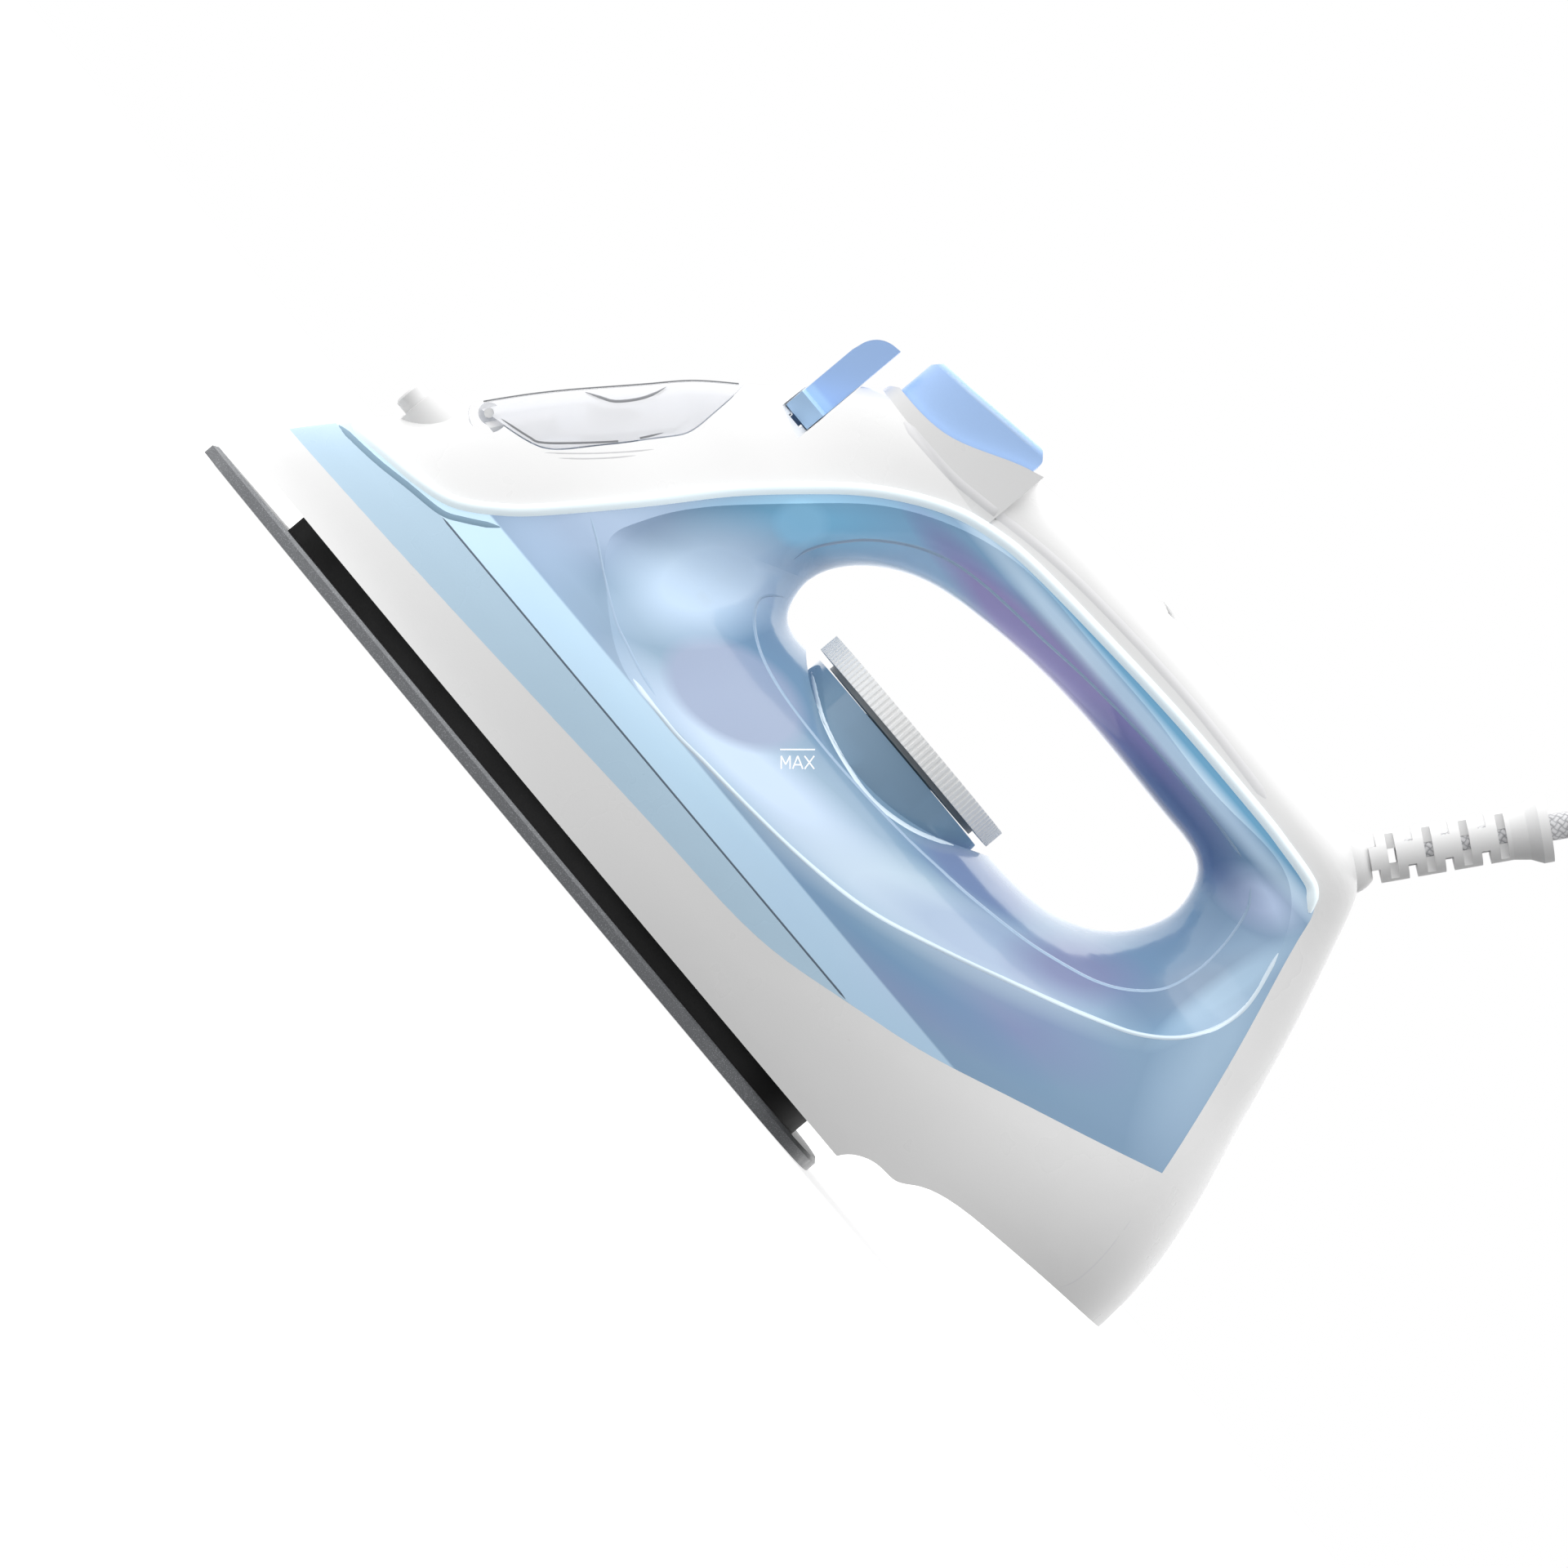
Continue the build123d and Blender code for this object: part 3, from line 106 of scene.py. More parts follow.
def coil_points():
    """Two flat layers of turns: the upper one winds inwards, the lower one winds out again."""
    points = []
    for index in range(2 * LAYER_TURNS * TURN_POINTS + 1):
        turns = index / TURN_POINTS
        angle = -pi / 2 + 2 * pi * turns
        if turns < LAYER_TURNS:
            steps = min(step_over(turns), LAYER_TURNS - 1)
            radius = OUTER_TURN - CORD_DIAMETER * steps
            sunk = max(0.0, step_over(turns) - (LAYER_TURNS - 1))
        else:
            steps = min(step_over(turns - LAYER_TURNS), LAYER_TURNS - 1)
            radius = OUTER_TURN - CORD_DIAMETER * (LAYER_TURNS - 1 - steps)
            sunk = 1.0
        height = CORD_DIAMETER * (1.5 - sunk)
        radius /= HULL
        place = Vector((radius * cos(angle), radius * sin(angle), height))
        points.append(COIL_MIDDLE + place)
    return points


def line_through(points):
    """Points close together along the smooth NURBS curve that some control points steer."""
    data = bpy.data.curves.new("route", "CURVE")
    data.dimensions = "3D"
    spline = data.splines.new("NURBS")
    spline.points.add(len(points) - 1)
    for point, place in zip(spline.points, points):
        point.co = (*place, 1)
    spline.order_u = 3
    spline.use_endpoint_u = True
    spline.resolution_u = 8
    curve = bpy.data.objects.new("route", data)
    bpy.context.scene.collection.objects.link(curve)
    bpy.context.view_layer.update()
    mesh = bpy.data.meshes.new_from_object(curve)
    line = [vertex.co.copy() for vertex in mesh.vertices]
    bpy.data.objects.remove(curve)
    bpy.data.meshes.remove(mesh)
    return line


def tube_along(name, line, radius, sides=16):
    """Round tube with closed ends; its UV map runs along it and round it, in turns of its girth."""
    work = bmesh.new()
    weave = work.loops.layers.uv.new("weave")
    rings = []
    along = 0.0
    across = None
    for index, place in enumerate(line):
        ahead = (line[min(index + 1, len(line) - 1)] - line[max(index - 1, 0)]).normalized()
        if across is None:
            across = ahead.cross(Vector((0, 1, 0))).normalized()
        across = (across - ahead * across.dot(ahead)).normalized()
        beside = ahead.cross(across)
        if index:
            along += (place - line[index - 1]).length / (2 * pi * radius)
        turns = [2 * pi * k / sides for k in range(sides)]
        ring = [work.verts.new(place + radius * (across * cos(t) + beside * sin(t))) for t in turns]
        rings.append((along, ring))
    for (low, first), (high, second) in zip(rings, rings[1:]):
        for k in range(sides):
            corners = (first[k], first[(k + 1) % sides], second[(k + 1) % sides], second[k])
            face = work.faces.new(corners)
            face.smooth = True
            spots = ((low, k), (low, k + 1), (high, k + 1), (high, k))
            for loop, (u, v) in zip(face.loops, spots):
                loop[weave].uv = (u, v / sides)
    work.faces.new(reversed(rings[0][1]))
    work.faces.new(rings[-1][1])
    mesh = bpy.data.meshes.new(name)
    work.to_mesh(mesh)
    work.free()
    made = bpy.data.objects.new(name, mesh)
    bpy.context.scene.collection.objects.link(made)
    return made


cord_line = line_through([*LEAD, *coil_points(), *TAIL])
cord = tube_along("mains_cord_braided", cord_line, CORD_DIAMETER / 2)
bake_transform(cord)
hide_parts("mains_cord", "cord_coil", "cord_tail")

# The cord's end inside the guard turns with the guard.
core_line = [
    Vector(CORD_EXIT) - GUARD_AXIS * CORE_STEP * step for step in range(CORE_STEPS, -1, -1)
]
core = tube_along("cord_inside_guard", core_line, CORD_DIAMETER / 2)
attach(core, "guard")


# ---- materials ------------------------------------------------------------------------------
def srgb(red, green, blue):
    """Linear colour from 8-bit screen values."""
    def linear(value):
        value /= 255
        return value / 12.92 if value <= 0.04045 else ((value + 0.055) / 1.055) ** 2.4
    return (linear(red), linear(green), linear(blue), 1.0)


class Shader:
    """A material with a Principled shader and helpers that add nodes to it."""

    def __init__(self, name, colour, roughness, **sockets):
        self.material = bpy.data.materials.new(name)
        self.material.use_nodes = True
        self.tree = self.material.node_tree
        self.shader = self.tree.nodes["Principled BSDF"]
        self.shader.inputs["Base Color"].default_value = colour
        self.shader.inputs["Roughness"].default_value = roughness
        for key, value in sockets.items():
            self.shader.inputs[key.replace("_", " ")].default_value = value
        self.colour = colour
        self.place = self.node("ShaderNodeTexCoord").outputs["Object"]

    def node(self, kind, **settings):
        made = self.tree.nodes.new(kind)
        for key, value in settings.items():
            setattr(made, key, value)
        return made

    def join(self, source, socket):
        self.tree.links.new(source, socket)

    def maths(self, operation, first, second=None, clamp=False):
        made = self.node("ShaderNodeMath", operation=operation, use_clamp=clamp)
        for socket, value in zip(made.inputs, (first, second)):
            if isinstance(value, bpy.types.NodeSocket):
                self.join(value, socket)
            elif value is not None:
                socket.default_value = value
        return made.outputs[0]

    def noise(self, scale, detail=3.0, stretch=(1, 1, 1)):
        mapping = self.node("ShaderNodeMapping")
        mapping.inputs["Scale"].default_value = stretch
        self.join(self.place, mapping.inputs["Vector"])
        made = self.node("ShaderNodeTexNoise")
        made.inputs["Scale"].default_value = scale
        made.inputs["Detail"].default_value = detail
        self.join(mapping.outputs[0], made.inputs["Vector"])
        return made.outputs["Fac"]

    def spread(self, source, low, high, first=0.3, last=0.7):
        """Source from first to last becomes low to high."""
        made = self.node("ShaderNodeMapRange")
        self.join(source, made.inputs["Value"])
        ends = {"From Min": first, "From Max": last, "To Min": low, "To Max": high}
        for key, value in ends.items():
            made.inputs[key].default_value = value
        return made.outputs["Result"]

    def mix(self, share, first, second):
        made = self.node("ShaderNodeMix", data_type="RGBA")
        for key, value in (("Factor", share), ("A", first), ("B", second)):
            socket = next(s for s in made.inputs if s.name == key and s.enabled)
            if isinstance(value, bpy.types.NodeSocket):
                self.join(value, socket)
            else:
                socket.default_value = value
        return next(s for s in made.outputs if s.enabled)

    def set_colour(self, source):
        self.join(source, self.shader.inputs["Base Color"])

    def vary_colour(self, other, scale, share=1.0):
        """Clouds of another colour over the base colour."""
        self.set_colour(self.mix(self.spread(self.noise(scale), 0.0, share), self.colour, other))

    def vary_roughness(self, low, high, scale):
        self.join(self.spread(self.noise(scale), low, high), self.shader.inputs["Roughness"])

    def see_through(self, tint, share):
        """Lets a share of the light pass straight through, with a tint."""
        clear = self.node("ShaderNodeBsdfTransparent")
        clear.inputs["Color"].default_value = tint
        blend = self.node("ShaderNodeMixShader")
        blend.inputs[0].default_value = share
        self.join(self.shader.outputs[0], blend.inputs[1])
        self.join(clear.outputs[0], blend.inputs[2])
        self.join(blend.outputs[0], self.tree.nodes["Material Output"].inputs["Surface"])

    def bump(self, height, strength, distance):
        made = self.node("ShaderNodeBump")
        made.inputs["Strength"].default_value = strength
        made.inputs["Distance"].default_value = distance
        self.join(height, made.inputs["Height"])
        self.join(made.outputs["Normal"], self.shader.inputs["Normal"])


PLASTIC_GRAIN = 2200.0
GRAIN_DEPTH = 0.0002
WALL_DEPTH = 0.0003  # of the slow waves in a clear wall


def moulded(name, colour, shade, roughness, coat=0.0, strength=0.05, glow=0.0):
    """Injection-moulded plastic: a faint grain, and slight changes of colour and gloss."""
    made = Shader(name, colour, roughness, Coat_Weight=coat, Coat_Roughness=0.12)
    made.shader.inputs["Emission Color"].default_value = colour
    made.shader.inputs["Emission Strength"].default_value = glow
    made.vary_colour(shade, 14.0)
    made.vary_roughness(roughness - 0.05, roughness + 0.07, 60.0)
    made.bump(made.noise(PLASTIC_GRAIN, 2.0), strength, GRAIN_DEPTH)
    return made.material


def metal(name, colour, shade, roughness, stretch=(1, 1, 1), strength=0.15):
    """Metal with a directional or cast grain."""
    made = Shader(name, colour, roughness, Metallic=1.0)
    made.vary_colour(shade, 40.0)
    made.vary_roughness(roughness - 0.08, roughness + 0.1, 120.0)
    made.bump(made.noise(900.0, 4.0, stretch), strength, GRAIN_DEPTH)
    return made.material


STRIP_TOP = (42.6, 43.1)  # mm: the pale foot of the tank's wall ends between these heights
STRIP_ENDS = (-90.0, 70.0)  # mm: it fades from the nose's end to the heel's end
WALL_PAINTED_GLOW = 0.3  # painted glow: the wall gives off light in its own colour, standing in for light that the clear wall lets through


def tank_plastic():
    """Translucent blue plastic whose tone changes with the wall and with what lies behind it;
    patches paint highlights, glows and shade into its colour, and it glows faintly.
    """
    made = Shader("tank_plastic", srgb(115, 146, 172), 0.16, Coat_Weight=0.5, Coat_Roughness=0.05)
    split = made.node("ShaderNodeSeparateXYZ")
    made.join(made.place, split.inputs[0])
    x, y, z = (made.maths("MULTIPLY", socket, 1000.0) for socket in split.outputs)
    colour = made.colour

    def patch(middle, size, turn, soft):
        """Soft-edged ellipse in the side view: 1 inside, 0 outside."""
        dx = made.maths("SUBTRACT", x, middle[0])
        dz = made.maths("SUBTRACT", z, middle[1])
        c, s = cos(radians(turn)), sin(radians(turn))
        along = made.maths(
            "ADD", made.maths("MULTIPLY", dx, c), made.maths("MULTIPLY", dz, s)
        )
        across = made.maths(
            "SUBTRACT", made.maths("MULTIPLY", dz, c), made.maths("MULTIPLY", dx, s)
        )
        along = made.maths("POWER", made.maths("DIVIDE", along, size[0]), 2.0)
        across = made.maths("POWER", made.maths("DIVIDE", across, size[1]), 2.0)
        reach = made.maths("SQRT", made.maths("ADD", along, across))
        return made.spread(reach, 1.0, 0.0, 1 - soft, 1 + soft)

    # Painted light: the patches lay highlights, glows and shade over the wall's colour, along with
    # tints of the parts behind it.
    for tint, share, *shape in TANK_PATCHES:
        share = made.maths("MULTIPLY", patch(*shape), share)
        colour = made.mix(share, colour, srgb(*tint))
    strip = made.spread(z, 1.0, 0.0, *STRIP_TOP)
    strip = made.maths("MULTIPLY", strip, made.spread(x, 0.95, 0.45, *STRIP_ENDS))
    colour = made.mix(strip, colour, srgb(206, 235, 250))
    colour = made.mix(made.spread(made.noise(22.0), 0.0, 0.08), colour, srgb(150, 150, 205))
    made.set_colour(colour)
    # Painted glow: the wall's colour is also given off as light.
    made.join(colour, made.shader.inputs["Emission Color"])
    made.shader.inputs["Emission Strength"].default_value = WALL_PAINTED_GLOW
    made.vary_roughness(0.10, 0.2, 90.0)
    made.bump(made.noise(260.0, 1.0), 0.03, WALL_DEPTH)
    made.see_through(srgb(190, 216, 240), 0.14)
    return made.material


# Tint, strength, middle (x, z), half size, turn and softness of each tone in the wall, in mm. The
# tones are painted highlights, glows and shade, and tints of the parts behind the wall.
TANK_PATCHES = [
    ((162, 183, 207), 0.9, (-74, 58), (22, 9), 55, 0.6),
    ((164, 190, 215), 0.8, (-56, 45), (34, 6), -4, 0.5),
    ((146, 183, 211), 0.9, (-15, 121), (32, 9), 32, 0.5),
    ((100, 166, 200), 0.9, (50, 134.4), (60, 3), 1, 0.5),
    ((134, 200, 230), 0.8, (-42, 100), (20, 6), 50, 0.7),
    ((118, 131, 170), 0.8, (72, 56), (26, 7), 25, 0.6),
    ((98, 140, 171), 0.8, (38, 49), (44, 5), 7, 0.5),
    ((158, 184, 205), 0.8, (114, 96), (26, 8), -68, 0.7),
    ((138, 165, 185), 1.0, (4, 55), (60, 11), 7, 0.35),
    ((190, 208, 226), 1.0, (-4, 52), (34, 6), 10, 0.5),
    ((182, 200, 212), 0.9, (50, 63), (40, 7), 20, 0.5),
    ((146, 165, 190), 0.8, (60, 67), (24, 6), 24, 0.4),
    ((148, 162, 186), 1.0, (-22, 60), (18, 10.5), 18, 0.12),
    ((189, 211, 230), 1.0, (-47, 73), (19, 12), 62, 0.4),
    ((150, 205, 232), 0.8, (-43, 98), (6, 5), 50, 0.25),
    ((112, 132, 166), 0.9, (48, 76), (16, 4.5), 12, 0.3),
    ((132, 136, 167), 0.8, (80, 80), (14, 6), 35, 0.5),
    ((122, 144, 166), 0.8, (101, 97), (16, 5), 70, 0.5),
    ((162, 190, 210), 0.8, (107, 106), (18, 3), 85, 0.5),
    ((202, 217, 240), 0.8, (95, 124), (9, 5), 20, 0.5),
    ((212, 234, 248), 0.9, (42, 130.6), (70, 2.4), 1, 0.5),
    ((144, 134, 184), 0.95, (26, 123), (46, 5), 3, 0.3),
    ((78, 100, 142), 0.9, (68, 121.5), (26, 5), -1, 0.5),
    ((112, 140, 160), 0.95, (12, 80), (27, 11), 0, 0.12),
]


LEVER_FOOT = (0.1215, 0.1225)  # the lighter foot ends between these heights


def lever_plastic():
    """The lever's blue, lighter in the foot that slides over the cover."""
    made = Shader(
        "lever_plastic", srgb(172, 206, 253), 0.36, Coat_Weight=0.15, Coat_Roughness=0.12
    )
    split = made.node("ShaderNodeSeparateXYZ")
    made.join(made.place, split.inputs[0])
    foot = made.spread(split.outputs[2], 1.0, 0.0, *LEVER_FOOT)
    blue = made.mix(made.spread(made.noise(14.0), 0.0, 1.0), made.colour, srgb(166, 200, 250))
    made.set_colour(made.mix(foot, blue, srgb(184, 219, 255)))
    made.vary_roughness(0.31, 0.43, 60.0)
    made.bump(made.noise(PLASTIC_GRAIN, 2.0), 0.05, GRAIN_DEPTH)
    return made.material


def clear_plastic():
    """Colourless plastic of the filler door."""
    made = Shader("door_plastic", srgb(250, 250, 251), 0.06, IOR=1.49, Coat_Weight=0.3)
    made.vary_roughness(0.04, 0.12, 80.0)
    made.bump(made.noise(300.0, 1.0), 0.02, WALL_DEPTH)
    made.see_through(srgb(246, 247, 250), 0.5)
    return made.material


BRAID_PITCH = 10.0  # strand crossings along the cord in the length of its girth
BRAID_STRANDS = 10.0


def braid():
    """Braided textile sleeve: two sets of strands wind round it, over and under each other."""
    made = Shader("braid", srgb(228, 228, 230), 0.8, Sheen_Weight=0.3)
    split = made.node("ShaderNodeSeparateXYZ")
    made.join(made.node("ShaderNodeUVMap", uv_map="weave").outputs[0], split.inputs[0])
    along = made.maths("MULTIPLY", split.outputs[0], BRAID_PITCH)
    around = made.maths("MULTIPLY", split.outputs[1], BRAID_STRANDS)
    heights, counts = [], []
    for direction in ("ADD", "SUBTRACT"):
        place = made.maths(direction, along, around)
        wave = made.maths("SINE", made.maths("MULTIPLY", place, pi))
        heights.append(made.maths("ABSOLUTE", wave))
        counts.append(made.maths("FLOOR", place))
    over = made.maths("PINGPONG", made.maths("ADD", *counts), 1.0)
    under = made.maths("SUBTRACT", 1.0, over)
    height = made.maths(
        "ADD",
        made.maths("MULTIPLY", heights[0], over),
        made.maths("MULTIPLY", heights[1], under),
    )
    # Painted shade: the braid is darker where the strands dip between crossings.
    made.set_colour(made.mix(height, srgb(168, 169, 173), srgb(240, 240, 242)))
    made.bump(height, 0.6, GRAIN_DEPTH)
    return made.material


def coating():
    """Hard sole coating: fine metallic specks in a dark ground."""
    made = Shader("sole_coating", srgb(120, 122, 125), 0.38, Metallic=0.35, Coat_Weight=0.2)
    specks = made.spread(made.noise(4200.0, 1.0), 0.0, 1.0, 0.55, 0.75)
    made.set_colour(made.mix(specks, srgb(108, 110, 113), srgb(158, 160, 164)))
    made.vary_roughness(0.3, 0.46, 240.0)
    made.bump(made.noise(1500.0, 2.0), 0.05, GRAIN_DEPTH)
    return made.material


WHITE = moulded("white_plastic", srgb(237, 237, 237), srgb(234, 234, 234), 0.3, coat=0.25)
BASE_BLUE = moulded("base_plastic", srgb(188, 216, 236), srgb(182, 211, 232), 0.28, coat=0.3)
BUTTON = moulded("button_plastic", srgb(174, 208, 253), srgb(168, 202, 250), 0.36, coat=0.15)
LIP = moulded("lip_plastic", srgb(176, 174, 170), srgb(166, 163, 160), 0.45)
DIAL = moulded("dial_plastic", srgb(250, 250, 249), srgb(246, 246, 245), 0.42)
BLACK = moulded("resin_plastic", srgb(29, 29, 30), srgb(25, 25, 26), 0.6, strength=0.12)
SOFT_WHITE = moulded("guard_rubber", srgb(248, 248, 248), srgb(244, 244, 244), 0.55)
SILICONE = moulded("silicone", srgb(206, 120, 88), srgb(196, 108, 78), 0.6)
HOSE = moulded("hose_rubber", srgb(220, 220, 212), srgb(206, 206, 200), 0.4)
SLEEVE = moulded("wire_sleeve", srgb(214, 206, 180), srgb(198, 190, 166), 0.75, strength=0.3)
STEEL = metal("steel", srgb(196, 197, 200), srgb(172, 173, 176), 0.32, (1, 1, 12))
CAST = metal("cast_metal", srgb(188, 189, 192), srgb(160, 161, 164), 0.5, strength=0.5)
BRASS = metal("brass", srgb(222, 196, 128), srgb(206, 176, 104), 0.28)
COATING = coating()
TANK = tank_plastic()
CLEAR = clear_plastic()
BRAID = braid()
LEVER = lever_plastic()

LOOKS = {
    COATING: ["soleplate"],
    CAST: ["heater_casting", "steam_chamber_cover", "thermostat"],
    STEEL: ["heating_element", "thermal_fuse", "lever_pin", "steam_valve_rod",
            "spray_spring", "boost_spring", "dial_shaft", "housing_screws"],
    BRASS: ["plug_pins"],
    BLACK: ["heat_shield", "terminal_block"],
    SILICONE: ["drip_seal"],
    HOSE: ["boost_hose", "spray_hose"],
    SLEEVE: ["supply_wires", "heater_wires"],
    WHITE: ["lower_housing", "rear_cover", "handle_cover", "filler_funnel", "spray_nozzle",
            "spray_pump", "boost_pump", "pump_bracket", "spray_plunger", "boost_plunger",
            "swivel_socket", "cord_clamp", "cord_swivel", "filler_door_pin"],
    BASE_BLUE: ["tank_base"],
    TANK: ["water_tank"],
    CLEAR: ["filler_door"],
    BUTTON: ["spray_button", "boost_button"],
    LEVER: ["steam_lever"],
    DIAL: ["thermostat_dial"],
    LIP: ["dial_skirt"],
    SOFT_WHITE: ["cord_guard", "plug_body"],
}
for material, names in LOOKS.items():
    for name in names:
        nodes[name].data.materials.clear()
        nodes[name].data.materials.append(material)
for piece in (cord, core):
    piece.data.materials.append(BRAID)


# ---- lines that follow the body's surface ---------------------------------------------------
def surface_of(*names):
    """Search tree over the triangles of some CAD nodes."""
    points, faces = [], []
    for name in names:
        mesh = nodes[name].data
        start = len(points)
        points += [v.co.copy() for v in mesh.vertices]
        faces += [[start + i for i in polygon.vertices] for polygon in mesh.polygons]
    return BVHTree.FromPolygons(points, faces)


BODY = surface_of("lower_housing", "rear_cover", "tank_base", "water_tank", "handle_cover")
BESIDE = 0.2  # y of a place well outside the body


def on_body(x, z, side, tree):
    """Point and normal of the body's outside at x, z on one side (-1 or 1)."""
    start = Vector((x, BESIDE * side, z))
    return tree.ray_cast(start, Vector((0, -side, 0)))[:2]


def curve_through(points, count):
    """Evenly spread points on a smooth curve through some points in the side view, in mm."""
    lengths = [0.0]
    for (x0, z0), (x1, z1) in zip(points, points[1:]):
        lengths.append(lengths[-1] + hypot(x1 - x0, z1 - z0))
    made = []
    last = len(points) - 1
    for index in range(count):
        goal = lengths[-1] * index / (count - 1)
        spot = next((i for i in range(last) if lengths[i + 1] >= goal - 1e-9), last - 1)
        share = (goal - lengths[spot]) / (lengths[spot + 1] - lengths[spot])
        p = [points[max(0, min(last, spot + k))] for k in (-1, 0, 1, 2)]
        made.append(tuple(
            0.5 * (2 * p[1][k] + (p[2][k] - p[0][k]) * share
                   + (2 * p[0][k] - 5 * p[1][k] + 4 * p[2][k] - p[3][k]) * share ** 2
                   + (3 * p[1][k] - p[0][k] - 3 * p[2][k] + p[3][k]) * share ** 3)
            for k in (0, 1)
        ))
    return made


ACROSS = (-1.0, -0.62, -0.2, 0.2, 0.62, 1.0)  # points across half a band's width
SUNK = 0.02  # mm that a band's edges lie under the surface
TAPER_ROWS = 4  # a band's end grows over so many rows, from a share of its width
TAPER_START = 0.25


def ribbon(name, lines, width, height, material, body="iron", tree=BODY, step=1.2,
           sides=(-1, 1), tapered=True):
    """Crowned bands, width and height in mm, on the body along curves in the side view."""
    work = bmesh.new()
    for side in sides:
        for points in lines:
            length = sum(hypot(b[0] - a[0], b[1] - a[1]) for a, b in zip(points, points[1:]))
            line = curve_through(points, max(4, int(length / step)))
            last = len(line) - 1
            rows = []
            for index, (x, z) in enumerate(line):
                x0, z0 = line[max(index - 1, 0)]
                x1, z1 = line[min(index + 1, last)]
                run = hypot(x1 - x0, z1 - z0)
                taper = 1.0
                if tapered:
                    taper = min(taper, TAPER_START + min(index, last - index) / TAPER_ROWS)
                row = []
                for share in ACROSS:
                    reach = 0.5 * width * share * taper
                    beside_x = (x - reach * (z1 - z0) / run) * MM
                    beside_z = (z + reach * (x1 - x0) / run) * MM
                    place, normal = on_body(beside_x, beside_z, side, tree)
                    if place is not None:
                        crown = (1 - share * share) * height * taper - SUNK
                        row.append(work.verts.new(place + normal * crown * MM))
                rows.append(row if len(row) == len(ACROSS) else None)
            for first, second in zip(rows, rows[1:]):
                if first and second:
                    for k in range(len(ACROSS) - 1):
                        corners = (first[k], first[k + 1], second[k + 1], second[k])
                        face = work.faces.new(corners if side < 0 else corners[::-1])
                        face.smooth = True
    bmesh.ops.delete(work, geom=[v for v in work.verts if not v.link_faces], context="VERTS")
    mesh = bpy.data.meshes.new(name)
    work.to_mesh(mesh)
    work.free()
    mesh.materials.append(material)
    piece = bpy.data.objects.new(name, mesh)
    bpy.context.scene.collection.objects.link(piece)
    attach(piece, body)


RAISE = 1.3  # mm above the soleplate's underside: where the heights of some lines start


def raised(points):
    """Side-view points with their heights taken from the soleplate's underside."""
    return [(x, z + RAISE) for x, z in points]


# Painted highlight: the bead is much paler than the wall and glows faintly, standing in for the
# light along its round crown.
BEAD_LOOK = moulded(
    "bead_painted_highlight", srgb(240, 251, 255), srgb(228, 244, 253), 0.2, coat=0.4, glow=0.25
)
GROOVE_SHADE_LOOK = moulded("groove_painted_shade", srgb(128, 160, 182), srgb(118, 150, 172), 0.4)
SEAM_LOOK = moulded("seam_shadow", srgb(96, 112, 128), srgb(88, 104, 120), 0.6)
CREASE_SHADE_AND_SEAM_LOOK = moulded("crease_shade_and_seam", srgb(232, 232, 233), srgb(226, 226, 228), 0.4)
GLINT_LOOK = moulded("wall_glint", srgb(226, 242, 254), srgb(214, 234, 250), 0.2, coat=0.4)
EDGE_HIGHLIGHT_LOOK = moulded("wall_edge_highlight", srgb(168, 194, 220), srgb(158, 184, 212), 0.25, coat=0.4)
DOOR_GAP_AND_SHADE_LOOK = moulded("door_gap_and_edge_shade", srgb(122, 124, 128), srgb(112, 114, 118), 0.5)
DOOR_STEP_SHADE_LOOK = moulded("door_step_shade", srgb(206, 206, 208), srgb(198, 198, 200), 0.5)
PRINT_LOOK = moulded("print_white", srgb(250, 252, 255), srgb(244, 248, 252), 0.5)
BEVEL_HIGHLIGHT_LOOK = moulded("button_bevel_highlight", srgb(186, 214, 250), srgb(178, 208, 248), 0.25, coat=0.4)

BEAD_LINE = raised([
    (-130.4, 30.1), (-120, 32), (-110, 33.7), (-102, 36), (-97, 39), (-92, 43.5), (-87, 49),
    (-80, 58.5), (-70, 73), (-60, 88.5), (-50, 101.5), (-40, 113), (-30, 121.5), (-20, 127.5),
    (-10, 130.8), (0, 132.6), (20, 134.2), (50, 135.8), (80, 136), (90, 135.6), (98, 135.0),
    (102, 133.9), (105.6, 130),
])
ribbon("tank_bead", [BEAD_LINE], 3.0, 1.3, BEAD_LOOK)
# Painted shade: a darker blue band, barely raised, stands for the shade in the groove under the
# bead.
GROOVE_LINE = raised([(-132.4, 27.5), (-120, 29), (-110, 31), (-100, 33), (-95, 36), (-88, 41.5)])
ribbon("bead_groove", [GROOVE_LINE], 1.6, 0.12, GROOVE_SHADE_LOOK)
SEAM_LINE = [(-99, 33.8), (-50, 33.8), (0, 33.8), (50, 33.8)]
ribbon("tank_seam", [SEAM_LINE], 0.6, 0.06, SEAM_LOOK)
# Painted shade: a slightly darker white band along the crease of the handle's top.
CREASE_LINE = raised([
    (-46, 131.3), (-30, 131.5), (-20, 133), (0, 137), (20, 139.2), (50, 140.5), (78, 139.5),
])
ribbon("cover_crease", [CREASE_LINE], 2.4, 0.2, CREASE_SHADE_AND_SEAM_LOOK)
# The rear cover's seam, in the same slightly darker white.
REAR_LINE = raised([(133, 51), (135, 42), (135.7, 35), (135.3, 30), (134, 27)])
ribbon("rear_seam", [REAR_LINE], 0.5, 0.05, CREASE_SHADE_AND_SEAM_LOOK)

